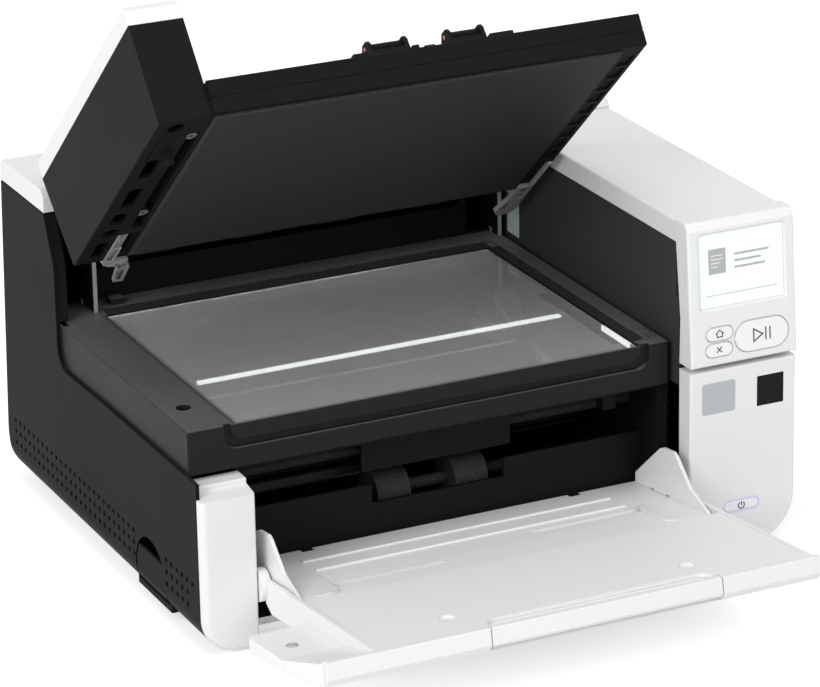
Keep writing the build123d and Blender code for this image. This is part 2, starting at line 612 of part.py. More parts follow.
stop_spans = ((-66, -38), (-10, 16))  # the two flip-up paper stops, along X
stop_pin = (-66.5, 177.5)
with BuildPart(lid) as output_panel:
    with BuildSketch(side_of(lid, lid_x[0])) as panel_section:
        with BuildLine():
            Polyline((lid_front(lid_z[1]), lid_z[1] + 0.4), (lid_back(lid_z[1]), lid_z[1] + 0.4),
                     (lid_back(lid_z[2]), lid_z[2] + 3), (20, lid_z[2] - 2.2),
                     (-58, lid_z[2] - 1.2), (-60, lid_z[2]), (lid_front(lid_z[2]), lid_z[2]),
                     close=True)
        make_face()
    extrude(amount=lid_x[1] - lid_x[0])
    fillet(output_panel.edges().filter_by(edge_at(lid, lid_front(lid_z[2]), lid_z[2])), 0.8)
    block((lid_x[0] + wall, lid_x[1] - wall), (-67.6, 145.6), (lid_z[1], lid_z[2] - 5.2),
          Mode.SUBTRACT)
    block((lid_x[0] + 0.1, lid_x[1] - 0.1), (lid_front(lid_z[1]) + 0.6, 149.4),
          (lid_z[1] - 0.4, lid_z[1] + 0.4))
    block((lid_x[0] + wall, lid_x[1] - wall), (-67.6, 145.6), (lid_z[1] - 0.5, lid_z[1] + 0.5),
          Mode.SUBTRACT)
    for span in stop_spans:
        for x in (span[0], span[1] - 2.6):
            with BuildSketch(side_of(lid, x)) as cheek_outline:
                with BuildLine():
                    Polyline((-73.2, lid_z[2] - 1.4), (-73.2, 178), (-71, 181), (-64.5, 181),
                             (-53, lid_z[2] - 1.4), close=True)
                make_face()
            extrude(amount=2.6)
        block((span[0], span[1]), (-73.4, -72), (lid_z[2] - 1.4, 173.5))
        with Locations(Location((sum(span) / 2, *stop_pin), (0, 90, 0))):
            Cylinder(1.5, span[1] - span[0], mode=Mode.SUBTRACT)
    for x in ((-78, -68.5), (-36.5, -32), (18.5, 35)):
        block(x, (-73.6, -63), (lid_z[2] - 1.4, lid_z[2] + 2))
    with BuildSketch(side_of(lid, -26)) as bump_outline:
        with Locations((-68, lid_z[2] - 2)):
            Circle(4.6)
    extrude(amount=6)
    for x in (-150, -110, 50, 90):
        block((x, x + 3), (-52, 146), (lid_z[2] - 3, lid_z[2] + 1))
output_panel.part.label = "output_panel"
export_step(output_panel.part, "parts/output_panel.step")

for name, span in (("output_stop_left", stop_spans[0]), ("output_stop_right", stop_spans[1])):
    with BuildPart(lid) as output_stop:
        middle = sum(span) / 2
        half = (span[1] - span[0]) / 2 - 2.9
        with Locations(Location((middle, *stop_pin), (0, 90, 0))):
            Cylinder(2.8, 2 * half)
        block((middle - half, middle + half), (stop_pin[0], -34), (176.4, 178.8))
        chamfer(output_stop.edges().filter_by(edge_at(lid, -34, 178.8)), 1.2)
        with Locations(Location((middle, *stop_pin), (0, 90, 0))):
            Cylinder(1.5 + running, 60, mode=Mode.SUBTRACT)
    output_stop.part.label = name
    export_step(output_stop.part, f"parts/{name}.step")

with BuildPart(lid) as stop_pins:
    for span in stop_spans:
        with Locations(Location((sum(span) / 2, *stop_pin), (0, 90, 0))):
            Cylinder(1.5, span[1] - span[0])
stop_pins.part.label = "stop_pins"
export_step(stop_pins.part, "parts/stop_pins.step")

arm_holes = [(-202.9, 1.5, 10, 27), (-202.8, 46, 10.4, 29), (-202.8, 78.6, 10.4, 17.5),
             (-203.2, 128.6, 9, 25)]  # centre, width and length of the slots
gutter_x, gutter_y = (-190, -181.5), (-46, 98)  # deep channel beside the foam
with BuildPart(lid) as lid_arm_body:
    with BuildSketch(side_of(lid, arm_x[0])) as arm_section:
        with BuildLine():
            Polyline((-68, lid_arm_z[0]), (lid_rear, lid_arm_z[0]),
                     (lid_back(lid_arm_z[1]), lid_arm_z[1]), (-68.7, lid_arm_z[1]), close=True)
        make_face()
    extrude(amount=arm_x[1] - arm_x[0])
    fillet(lid_arm_body.faces().sort_by(lambda f: lid.to_local_coords(f.center()).Z)[0].edges(), 1)
    with BuildSketch(side_of(lid, arm_x[0] + wall)) as arm_hollow:
        with BuildLine():
            Polyline((-65.5, lid_arm_z[0] + 3), (lid_rear - wall, lid_arm_z[0] + 3),
                     (lid_back(lid_arm_z[1]) - wall, lid_arm_z[1] + 1),
                     (-66.2, lid_arm_z[1] + 1), close=True)
        make_face()
    extrude(amount=arm_x[1] - arm_x[0] - 2 * wall, mode=Mode.SUBTRACT)
    with BuildSketch(lid.offset(lid_arm_z[0] - 1)) as arm_openings:
        for x, y, width, length in arm_holes:
            with Locations((x, y)):
                RectangleRounded(width, length, 3)
        with Locations((-201.5, -57.6), (-202.4, 101)):
            Circle(6)
    extrude(amount=5, mode=Mode.SUBTRACT)
    # Plate of the locating post, outlined by a groove.
    with BuildSketch(lid.offset(lid_arm_z[0] - 1)) as plate_groove:
        with Locations((-198.8, -28)):
            Rectangle(21.6, 37)
            Rectangle(19.6, 35, mode=Mode.SUBTRACT)
    extrude(amount=2.4, mode=Mode.SUBTRACT)
    block((-200.5, -196.1), (-25.4, -21), (lid_arm_z[0] - 9, lid_arm_z[0] + 1))
    # Deep channel beside the foam, with the bosses of the two cover screws.
    block((gutter_x[0] - 2, gutter_x[1] + 1), (gutter_y[0] - 2, gutter_y[1] + 2),
          (lid_arm_z[0] + 1, lid_arm_z[0] + 10))
    block(gutter_x, gutter_y, (lid_arm_z[0] - 1, lid_arm_z[0] + 8), Mode.SUBTRACT)
    with Locations((-187.4, 75, lid_arm_z[0] + 5), (-186.4, -40.5, lid_arm_z[0] + 5)):
        Cylinder(5, 9)
    with Locations((-187.4, 75, lid_arm_z[0] + 1.5), (-186.4, -40.5, lid_arm_z[0] + 1.5)):
        Cylinder(4, 2, mode=Mode.SUBTRACT)
    # Recess of the left-hand hinge arm, open beside it to the hollow of the arm.
    block((hinge_strip_left[0] - 0.3, arm_x[1] + 1), (106.6, 160),
          (lid_arm_z[0] - 1, lid_arm_z[0] + 3.1), Mode.SUBTRACT)
    block((hinge_strip_left[0] - 2, hinge_strip_left[1] + 0.6), (105, 147),
          (lid_arm_z[0] + 3.1, lid_arm_z[0] + 6))
lid_arm_body.part.label = "lid_arm_body"
export_step(lid_arm_body.part, "parts/lid_arm_body.step")

with BuildPart(lid) as lid_arm_cap:
    low, edge, high = lid_arm_z[1], lid_arm_z[2] - 5, lid_arm_z[2]
    with BuildSketch(side_of(lid, arm_x[0])) as arm_cap_section:
        with BuildLine():
            Polyline((-68.7, low), (-68.7, edge), (-63.7, high), (lid_back(low) - 4.5, high),
                     (lid_back(low) + 0.6, edge), (lid_back(low), low), close=True)
        make_face()
    extrude(amount=arm_x[1] - arm_x[0])
    chamfer([e for e in lid_arm_cap.edges() if abs(lid.to_local_coords(e.center()).Z - high) < 0.1
             and abs(e.tangent_at(0.5).X) < 0.1 and e.center().X < -200], 3)
    with BuildSketch(side_of(lid, arm_x[0] + 2.2)) as arm_cap_hollow:
        with BuildLine():
            Polyline((-66.5, low - 1), (-66.5, edge - 1), (-62.8, high - 2.4),
                     (lid_back(low) - 5.5, high - 2.4), (lid_back(low) - 1.8, edge - 1),
                     (lid_back(low) - 2.4, low - 1), close=True)
        make_face()
    extrude(amount=arm_x[1] - arm_x[0] - 4.4, mode=Mode.SUBTRACT)
lid_arm_cap.part.label = "lid_arm_cap"
export_step(lid_arm_cap.part, "parts/lid_arm_cap.step")

pad_z = (148, lid_z[0])
with BuildPart(lid) as backing_pad:
    block((-174.6, 110), (-62.6, 146), pad_z)
backing_pad.part.label = "backing_pad"
export_step(backing_pad.part, "parts/backing_pad.step")

with BuildPart(lid) as pad_foam:
    block((-178, 110), (-66, -62.8), pad_z)
    block((-178, -174.8), (-62.8, 146), pad_z)
pad_foam.part.label = "pad_foam"
export_step(pad_foam.part, "parts/pad_foam.step")

# Cast arms: a strip screwed under the lid, a tail behind it and a neck up to the hinge pin.
frame_left, frame_right = (-184.5, -181.6), (128.4, 131.4)
neck_left, neck_right = (-192, -185.3), (112.6, 116.2)
boss_r = 8.5
tail_low = lid_arm_z[0] + 0.1
tail_left = [(-195.6, 146), (-195.6, 152), (-189.6, 160.6), (-181, 163.6), (-176.8, 191.6),
             (-169.6, 191.6), (-171.4, 167), (-177.2, 155.4), (-187, 153), (-187, 146)]
tail_right = [(112.6, 146), (112.6, 166), (109, 185), (112.6, 191.6), (122.6, 191.6),
              (126.6, 183), (125, 174), (125, 146)]
for name, tail, neck, tail_top in (
        ("hinge_arm_left", tail_left, neck_left, tail_low + 3),
        ("hinge_arm_right", tail_right, neck_right, tail_low + 3)):
    with BuildPart(lid) as hinge_arm:
        with BuildSketch(lid.offset(tail_low)) as tail_outline:
            with BuildLine():
                Polyline(*tail, close=True)
            make_face()
        extrude(amount=tail_top - tail_low)
        with BuildSketch(side_of(lid, neck[0])) as neck_outline:
            with Locations((157, tail_low + 4)):
                Circle(4)
            with Locations((hinge_y, hinge_z)):
                Circle(boss_r)
            make_hull()
        extrude(amount=neck[1] - neck[0])
        if name == "hinge_arm_left":
            # Plate with raised ribs along its left edge and round its rear half.
            block(hinge_strip_left, (107, 148), (tail_low + 1.5, tail_top))
            block((hinge_strip_left[0], hinge_strip_left[0] + 2), (107, 152), (tail_low - 0.2, tail_top))
            block((hinge_strip_left[1] - 1.6, hinge_strip_left[1]), (130, 153),
                  (tail_low - 0.2, tail_top))
            block(hinge_strip_left, (130, 131.6), (tail_low - 0.2, tail_top))
            block((-193, -189), (133, 150), (tail_low - 1, tail_low + 1.5), Mode.SUBTRACT)
            # Ribs and a pocket that stiffen the tail.
            block((-187.4, -176), (153.4, 155.4), (tail_low - 0.2, tail_top))
            with BuildSketch(lid.offset(tail_low - 1)) as tail_pockets:
                with BuildLine():
                    Polyline((-184, 158.6), (-175.6, 159.6), (-174.4, 167), (-178, 169),
                             close=True)
                make_face()
                with BuildLine():
                    Polyline((-179.4, 173), (-174, 170.6), (-172.6, 188.6), (-175, 188.6),
                             close=True)
                make_face()
            extrude(amount=2.8, mode=Mode.SUBTRACT)
        else:
            block((hinge_strip_right[1] - 2.4, hinge_strip_right[1]), (109, 148),
                  (tail_low, lid_z[0] + 2))
            with BuildSketch(lid.offset(tail_low - 1)) as tail_pockets:
                with Locations((119.4, 161)):
                    Ellipse(2.4, 4)
                with BuildLine():
                    Polyline((112.6, 171), (118, 170), (116.6, 184), (111.4, 184), close=True)
                make_face()
            extrude(amount=2.8, mode=Mode.SUBTRACT)
            with Locations((119, 150.6, tail_low)):
                Cylinder(2.4, 2.4, mode=Mode.SUBTRACT)
        with Locations(Location((0, hinge_y, hinge_z), (0, 90, 0))):
            Cylinder(shaft_r + running, 500, mode=Mode.SUBTRACT)
    hinge_arm.part.label = name
    export_step(hinge_arm.part, f"parts/{name}.step")

strip_screws = ((-191, 113, tail_low + 0.9), (-191, 123, tail_low + 0.9),
                (119, 150.6, tail_low + 0.6))
with BuildPart(lid) as lid_screws:
    with Locations(*strip_screws):
        Cylinder(2.2, 1.2)
    with Locations((-187.4, 75, lid_arm_z[0] + 1.5), (-186.4, -40.5, lid_arm_z[0] + 1.5)):
        Cylinder(3.9, 2)
lid_screws.part.label = "lid_screws"
export_step(lid_screws.part, "parts/lid_screws.step")

# Steel frames that stand behind the flatbed and hold the hinge pins.
with BuildPart() as hinge_frames:
    for frame_x, front in ((frame_left, 165), (frame_right, 176)):
        with BuildSketch(Plane.YZ.offset(frame_x[0])) as frame_outline:
            with BuildLine():
                Polyline((front, bed_z[1]), (190, bed_z[1]), (190, 192), (213, 210), (213, 226),
                         (207, 231), (196, 231), (front, 190), close=True)
            make_face()
        extrude(amount=frame_x[1] - frame_x[0])
        block((frame_x[0] - 1.2, frame_x[1] + 1), (186, 190), (bed_z[1], bed_z[1] + 3))
    rod((-190, 133), hinge_y, hinge_z, shaft_r, Mode.SUBTRACT)
hinge_frames.part.label = "hinge_frames"
export_step(hinge_frames.part, "parts/hinge_frames.step")

with BuildPart() as hinge_pins:
    for span, head in (((-194, -179.5), (-196, -194)), ((110.6, 132.4), (108.8, 110.6))):
        rod(span, hinge_y, hinge_z, shaft_r)
        rod(head, hinge_y, hinge_z, 6)
hinge_pins.part.label = "hinge_pins"
export_step(hinge_pins.part, "parts/hinge_pins.step")

# ---- tray ----------------------------------------------------------------------------
# Drawn in the tray's own frame: the origin is the pivot, Y runs back along the tray, so
# the front of the tray is at negative Y, and Z is square to its surface.
tray_low = -17  # underside at the pivot end
ear_x, ear_start, ear_top = -half_width, 74, -6
lip_back = 6
under_front = -12.4  # the chamfer under the lip ends here
tray_right = 134


def ahead(*points):
    """Turns distances in front of the pivot into places on the tray's side plane."""
    return [(-distance, height) for distance, height in points]


with BuildPart(tray) as input_tray:
    block(tray_x, (-(tray_front - lip_back), -floor_start), (0.9, tray_top))
    block((tray_split[0] + 2, tray_split[1] - 2), (-tray_front, -161), (0, 4), Mode.SUBTRACT)
    fillet([e for e in input_tray.edges() if abs(abs(tray.to_local_coords(e.center()).Y) - 161)
            < 0.1 and abs(e.tangent_at(0.5).dot(tray.z_dir)) > 0.9], 9)
    for x in (tray_x[0], tray_x[1] - 3):
        with BuildSketch(side_of(tray, x)) as arm_outline:
            Circle(bush_r)
            with BuildLine():
                Polyline((-6, tray_low + 6), (-14, tray_low), (-64, tray_low + 0.6),
                         (-168, under_front), (-(tray_front - lip_back), under_front + 3),
                         (-(tray_front - lip_back), tray_top), (-14, tray_top + 1.6),
                         (-6, tray_top + 1.6), close=True)
            make_face()
        extrude(amount=3)
    for at, pin in (((-177.2, tray_x[0]), (-180.3, -177.2)), ((tray_x[1], 135), (135, 138))):
        with Locations(Location((sum(at) / 2, 0, 0), (0, 90, 0))):
            Cylinder(bush_r, at[1] - at[0])
        with Locations(Location((sum(pin) / 2, 0, 0), (0, 90, 0))):
            Cylinder(pivot_r, pin[1] - pin[0])
    with Locations((-111.5, -143.7, tray_top), (57, -142.8, tray_top)):
        Cylinder(5.5, 3, mode=Mode.SUBTRACT)
input_tray.part.label = "input_tray"
export_step(input_tray.part, "parts/input_tray.step")

lip_side = ahead((tray_front, lip_low), (tray_front - 0.4, tray_top - 0.6),
                 (tray_front - 1, tray_top), (tray_front - lip_back, tray_top))
inner_x = (tray_x[0] + 3, tray_x[1] - 3)
ear_screw = (-200, -107)
with BuildPart(tray) as tray_cover:
    # The ear covers the top of the left pillar when the tray is folded up.
    with BuildSketch(side_of(tray, ear_x)) as ear_side:
        with BuildLine():
            Polyline(*ahead((ear_start, ear_top), (128, ear_top), (tray_front - 8, 1.6),
                            (tray_front - lip_back, tray_top), (tray_front - lip_back, under_front),
                            (168, under_front - 1), (128, tray_low + 2.6),
                            (ear_start + 3, tray_low + 1), (ear_start, tray_low + 4)),
                     close=True)
        make_face()
    extrude(amount=tray_x[0] - ear_x)
    with BuildSketch(tray.offset(-40)) as ear_plan:
        with BuildLine():
            Polyline((ear_x + 3, -ear_start), (tray_x[0], -ear_start), (tray_x[0], -190),
                     (-207, -tray_front), (ear_x, -(tray_front - 46)), (ear_x, -ear_start - 3),
                     close=True)
        make_face()
    extrude(amount=80, mode=Mode.INTERSECT)
    with Locations((*ear_screw, ear_top)):
        Cylinder(4, 2.4, mode=Mode.SUBTRACT)
    # Underside between the side arms, and its rear wall.
    with BuildSketch(side_of(tray, inner_x[0])) as underside:
        with BuildLine():
            Polyline(*ahead((64, tray_low + 0.6), (168, under_front - 1),
                            (tray_front - 5.4, under_front),
                            (tray_front - 6.6, under_front + 1.6), (168, under_front + 1.2),
                            (64, tray_low + 2.8), (62, tray_low + 2.8), (62, 0.8),
                            (59.4, 0.8), (59.4, tray_low + 0.6)), close=True)
        make_face()
    extrude(amount=inner_x[1] - inner_x[0])
    # Lips to the left and right of the pull-out middle.
    for left, right in ((-207, tray_split[0] - 0.35), (tray_split[1] + 0.35, tray_right)):
        with BuildSketch(side_of(tray, left)) as lip:
            with BuildLine():
                Polyline(*ahead((tray_front - lip_back, under_front - 0.3),
                                (tray_front - 4.6, under_front)), *lip_side, close=True)
            make_face()
        extrude(amount=right - left)
tray_cover.part.label = "tray_cover"
export_step(tray_cover.part, "parts/tray_cover.step")

with BuildPart(tray) as tray_extender:
    middle_x = (tray_split[0] + 0.35, tray_split[1] - 0.35)
    block((middle_x[0] + 0.4, middle_x[1] - 0.4), (-(tray_front - lip_back), -96), (-2, 0.7))
    with BuildSketch(side_of(tray, middle_x[0])) as middle_lip:
        with BuildLine():
            Polyline(*ahead((tray_front - lip_back, under_front + 2.6),
                            (tray_front - 3, under_front + 2.6)), *lip_side, close=True)
        make_face()
    extrude(amount=middle_x[1] - middle_x[0])
tray_extender.part.label = "tray_extender"
export_step(tray_extender.part, "parts/tray_extender.step")

with BuildPart(tray) as tray_screws:
    with Locations((*ear_screw, ear_top - 0.3)):
        Cylinder(3.6, 1.8)
    with Locations((*ear_screw, ear_top + 0.6)):
        Box(4, 0.9, 1, mode=Mode.SUBTRACT)
        Box(0.9, 4, 1, mode=Mode.SUBTRACT)
tray_screws.part.label = "tray_screws"
export_step(tray_screws.part, "parts/tray_screws.step")

# ---- paper elevator and guides -------------------------------------------------------
lift_x, lift_y, lift_top = (-169, 126), (-52, 51), -0.2
pinion_y, rack_gap = -20, 0.2
rack_left_y = (pinion_y - pinion_r - rack_gap - 5, pinion_y - pinion_r - rack_gap)
rack_right_y = (pinion_y + pinion_r + rack_gap, pinion_y + pinion_r + rack_gap + 5)
rack_z = (-6.4, -3.4)
ridge_y = (3, 24)
with BuildPart(tray) as elevator_plate:
    block(lift_x, lift_y, (lift_top - 2.6, lift_top))
    for y in ridge_y:
        block((-134, 92), (y, y + 3), (lift_top, lift_top + 1.2))
    for rack_y, span in ((rack_left_y, (-172, -58)), (rack_right_y, (15, 128))):
        block(span, (rack_y[0] - 0.3, rack_y[1] + 0.3), (-4, 2), Mode.SUBTRACT)
    for x in (-120, 77):
        block((x - 4.4, x + 4.4), (lift_y[1] - 5, lift_y[1] + 1), (-4, 2), Mode.SUBTRACT)
    with Locations((paper_mid, pinion_y, -5.2)):
        Cylinder(2, 5)
elevator_plate.part.label = "elevator_plate"
export_step(elevator_plate.part, "parts/elevator_plate.step")

fin = [(-136.8, 49.6), (-134.5, 50.9), (-110.6, 58.8), (-92, 75.2), (-88, 77), (-74, 75.2),
       (-70, 73.4), (-36, 44)]
for name, side, rack_y in (("guide_left", -1, rack_left_y), ("guide_right", 1, rack_right_y)):
    edge = 145.7  # the faces of the guides are this far from the middle of the paper
    rear_corner, front_corner = (-36, 37.15), (-136.8, 49.2)
    with BuildPart(tray) as guide:
        with BuildSketch(Plane.YZ.offset(paper_mid + side * edge)) as fin_outline:
            with BuildLine():
                Polyline(*fin, rear_corner, front_corner, close=True)
            make_face()
        extrude(amount=side * 2.4)
        # The foot of the fin clears the ridges of the elevator.
        for y in ridge_y:
            block((-180, 140), (y - 0.6, y + 3.6), (-1, lift_top + 1.5), Mode.SUBTRACT)
        inner, outer = paper_mid + side * (edge - 29), paper_mid + side * (edge + 0.1)
        with BuildSketch(tray.offset(lift_top + 0.15)) as foot_plate:
            with Locations(((inner + outer) / 2, -25)):
                Rectangle(29.1, 46)
            fillet(foot_plate.vertices().group_by(Axis.X)[0 if side > 0 else -1], 9)
        extrude(amount=1.6)
        leg_x = sorted((paper_mid + side * (edge + 2.4), paper_mid + side * (edge - 3)))
        block(leg_x, rack_y, (rack_z[0], lift_top + 1))
        rack_x = sorted((paper_mid + side * (edge + 2.4), paper_mid - side * 12))
        block(rack_x, rack_y, rack_z)
        near = rack_y[1] if side < 0 else rack_y[0]
        with Locations([(rack_x[0] + 6 + 3.14 * i, near, sum(rack_z) / 2) for i in range(48)]):
            Box(1.5, 2.6, 4, mode=Mode.SUBTRACT)
    guide.part.label = name
    export_step(guide.part, f"parts/{name}.step")

with BuildPart(tray) as guide_pinion:
    with Locations((paper_mid, pinion_y, (rack_z[0] + rack_z[1]) / 2)):
        Cylinder(pinion_r, 3)
        with PolarLocations(pinion_r, 16):
            Box(2.6, 1.5, 4, mode=Mode.SUBTRACT)
        Cylinder(2 + running, 6, mode=Mode.SUBTRACT)
guide_pinion.part.label = "guide_pinion"
export_step(guide_pinion.part, "parts/guide_pinion.step")

# ---- feeder --------------------------------------------------------------------------
chassis_left, chassis_right = (-179.6, -177.4), (132.8, 135)
path_z, turn_mid, turn_r = 72, (186, 131), 59
shafts = (feed_at, separation_at, drive_at, pinch_at, exit_at)
with BuildPart() as feeder_chassis:
    with BuildSketch(Plane.YZ.offset(chassis_left[0])) as chassis_outline:
        with BuildLine():
            Polyline((-61, 15), (-61, 116), (192, 116), (195.2, 118), (195.2, 214),
                     (228, 214), (240, 180), (241, 24), (230.8, 16), (230.8, 5.5),
                     (-56, 5.5), (-56, 15), close=True)
        make_face()
    extrude(amount=chassis_left[1] - chassis_left[0])
    add(mirror(feeder_chassis.part, Plane.YZ, mode=Mode.PRIVATE)
        .move(Location((chassis_left[0] + chassis_right[1], 0, 0))))
    # Low wall behind the paper, deep wall and ceiling over it, and the feed rollers' cover.
    across = (chassis_left[1], chassis_right[0])
    roller_gap = (-70, 27)
    block(across, (-31.5, -29), (5.5, path_z - 0.5))
    block(across, (10, 12.5), (path_z + 5, 116))
    block(across, (-60, 12.5), (113.6, 116))
    block(roller_gap, (-32, -28), (path_z - 14, path_z), Mode.SUBTRACT)
    block((-76, 33), (-29, -26.5), (path_z + 8, 114))
    # Rails of the elevator, a latch block, and a post beside the right-hand cover.
    for x in (-120, 77):
        block((x - 4, x + 4), (-38.4, -31.5), (5.5, 36.8))
    block((96, 106), (-42, -33), (96, 114))
    block((chassis_right[0] - 4, chassis_right[0]), (-58, -53), (46, 114))
    for y, z in shafts:
        rod((-190, 150), y, z, shaft_r + running, Mode.SUBTRACT)
feeder_chassis.part.label = "feeder_chassis"
export_step(feeder_chassis.part, "parts/feeder_chassis.step")

journal = (-180.6, 138.5)
narrow, wide = ((-62, -38), (-5, 19)), ((-140, -112), (-66, -38), (-5, 23), (69, 97))
for name, at, radius, tyres, pulley in (
        ("feed_roller", feed_at, feed_r, narrow, feed_pulley_r),
        ("separation_roller", separation_at, feed_r - 0.2, narrow, None),
        ("drive_roller", drive_at, drive_r, wide, pulley_r),
        ("pinch_roller", pinch_at, drive_r, wide, None),
        ("exit_roller", exit_at, drive_r, wide, pulley_r)):
    with BuildPart() as roller:
        rod((journal[0], 145.6 if pulley else journal[1]), *at, shaft_r)
        for tyre in tyres:
            rod(tyre, *at, radius)
        if pulley:
            rod((139.6, 145.4), *at, pulley)
    roller.part.label = name
    export_step(roller.part, f"parts/{name}.step")

guide_x = (-170, 104)
windows = ((-142, -110), (-68, -36), (-7, 25), (67, 99))


def turn_sheet(inner, outer, front, exit_front):
    """Section of one wall of the paper path: flat, half turn round the back, flat."""
    low, high = turn_mid[1] - outer, turn_mid[1] + outer
    with BuildSketch(Plane.YZ.offset(guide_x[0])) as sheet:
        with BuildLine():
            Polyline((turn_mid[0], low), (front, low), (front, turn_mid[1] - inner),
                     (turn_mid[0], turn_mid[1] - inner))
            ThreePointArc((turn_mid[0], turn_mid[1] - inner), (turn_mid[0] + inner, turn_mid[1]),
                          (turn_mid[0], turn_mid[1] + inner))
            Polyline((turn_mid[0], turn_mid[1] + inner), (exit_front, turn_mid[1] + inner),
                     (exit_front, high), (turn_mid[0], high))
            ThreePointArc((turn_mid[0], high), (turn_mid[0] + outer, turn_mid[1]),
                          (turn_mid[0], low))
        make_face()
    return sheet.sketch


with BuildPart() as paper_guides:
    extrude(turn_sheet(turn_r + 1.4, turn_r + 3, 10, turn_mid[0] + 1), amount=guide_x[1] - guide_x[0])
    extrude(turn_sheet(turn_r - 3, turn_r - 1.4, 10, 160), amount=guide_x[1] - guide_x[0])
    for window in windows:
        block(window, (48, 72), (path_z - 12, path_z + 13), Mode.SUBTRACT)
        block(window, (189, 212), (170, 191), Mode.SUBTRACT)
    block((-200, 200), (90, 110), (path_z - 12, path_z + 13), Mode.SUBTRACT)
paper_guides.part.label = "paper_guides"
export_step(paper_guides.part, "parts/paper_guides.step")

with BuildPart() as scan_bars:
    for z in ((50, path_z - 1.4), (path_z + 1.4, 94)):
        block((chassis_left[1], chassis_right[0]), (90, 110), z)
scan_bars.part.label = "scan_bars"
export_step(scan_bars.part, "parts/scan_bars.step")

with BuildPart() as main_board:
    block((-150, 60), (120, 230), (12, 13.6))
    for x, y in ((-144, 126), (-144, 226), (54, 126), (54, 226)):
        block((x - 3, x + 3), (y - 3, y + 3), (table_gap + wall, 12))
    for x, y, size in ((-100, 180, 24), (-50, 160, 18), (0, 200, 14), (20, 150, 10)):
        block((x - size / 2, x + size / 2), (y - size / 2, y + size / 2), (13.6, 16))
main_board.part.label = "main_board"
export_step(main_board.part, "parts/main_board.step")
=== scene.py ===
import math
import bmesh
import bpy
import numpy as np
from mathutils import Matrix, Vector


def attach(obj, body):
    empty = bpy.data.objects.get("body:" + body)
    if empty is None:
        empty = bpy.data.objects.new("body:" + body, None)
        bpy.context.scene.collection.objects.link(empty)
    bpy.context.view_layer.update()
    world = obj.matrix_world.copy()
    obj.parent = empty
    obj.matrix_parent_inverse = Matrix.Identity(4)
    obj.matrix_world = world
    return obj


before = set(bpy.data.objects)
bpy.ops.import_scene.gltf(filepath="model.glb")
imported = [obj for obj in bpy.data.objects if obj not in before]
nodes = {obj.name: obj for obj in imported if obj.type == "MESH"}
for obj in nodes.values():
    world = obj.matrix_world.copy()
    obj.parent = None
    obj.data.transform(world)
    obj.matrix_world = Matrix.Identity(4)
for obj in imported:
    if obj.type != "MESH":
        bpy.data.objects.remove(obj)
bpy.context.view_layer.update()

# Desktop document scanner with an open flatbed lid. The solids come from the frame, and
# this script gives them their finishes, adds the small fittings and lights the scene.
# Lengths are in millimetres unless a line says otherwise, and mm turns them into metres.
mm = 0.001
print("frame loaded:", len(nodes), "nodes")

# places where fittings sit, worked out once from the drawing of the machine
lidOpen, lidHinge = math.radians(41.52), (203.3, 219.65)
faceLean, faceFoot = math.atan2(7.4, 93.5), (-92.8, 134.5)


def flatFrame(origin, across, up):
    # maps rows of (x, y, z) in a flat frame to metres: origin + x across + y up + z outwards
    across, up = np.array(across, float), np.array(up, float)
    out = np.cross(across, up)
    return lambda p: (np.array(origin, float) + p[:, :1] * across + p[:, 1:2] * up + p[:, 2:3] * out) * mm


def turnedFrame(angle, origin):
    # frame turned about X, as the lid is
    c, s = math.cos(angle), math.sin(angle)
    return flatFrame((0, *origin), (1, 0, 0), (0, c, -s))


lidCos, lidSin = math.cos(lidOpen), math.sin(lidOpen)
lidOrigin = (lidHinge[0] - lidHinge[0] * lidCos - lidHinge[1] * lidSin,
             lidHinge[1] + lidHinge[0] * lidSin - lidHinge[1] * lidCos)
lidFrame = turnedFrame(lidOpen, lidOrigin)
displayFrame = flatFrame((0, *faceFoot), (1, 0, 0), (0, math.sin(faceLean), math.cos(faceLean)))
powerFrame = flatFrame((175, -91.3, 30.3), (1, 0, 0), (0, 0, 1))
coverFrame = flatFrame((0, -91, 0), (1, 0, 0), (0, 0, 1))
bedFrame = flatFrame((0, 0, 147.5), (1, 0, 0), (0, 1, 0))


# Shader groups, and what helps to build them.
socketKinds = {"number": "NodeSocketFloat", "colour": "NodeSocketColor", "vector": "NodeSocketVector"}


def newGroup(name, takes, gives):
    tree = bpy.data.node_groups.new(name, "ShaderNodeTree")
    for label, kind, value in takes:
        socket = tree.interface.new_socket(label, in_out="INPUT", socket_type=socketKinds[kind])
        socket.default_value = value
    for label, kind in gives:
        tree.interface.new_socket(label, in_out="OUTPUT", socket_type=socketKinds[kind])
    return tree, tree.nodes.new("NodeGroupInput"), tree.nodes.new("NodeGroupOutput")


def put(tree, kind, feeds=None, **settings):
    # adds a node, sets what it is, and feeds its sockets with values or other sockets
    made = tree.nodes.new(kind)
    for key, value in settings.items():
        setattr(made, key, value)
    for key, value in (feeds or {}).items():
        socket = made.inputs[key]
        if isinstance(value, bpy.types.NodeSocket):
            tree.links.new(value, socket)
        else:
            socket.default_value = value
    return made


def sums(tree, operation, *values):
    return put(tree, "ShaderNodeMath", dict(enumerate(values)), operation=operation).outputs[0]


def blendColours(tree, share, first, second, kind="MIX"):
    mix = put(tree, "ShaderNodeMix", {0: share, 6: first, 7: second}, data_type="RGBA", blend_type=kind)
    return mix.outputs[2]


skinShades = {"drift": (0.55, 0.55, 0.56, 1), "dustAndSheen": (0.32, 0.32, 0.315, 1),
              "deep": (0.004, 0.004, 0.004, 1)}


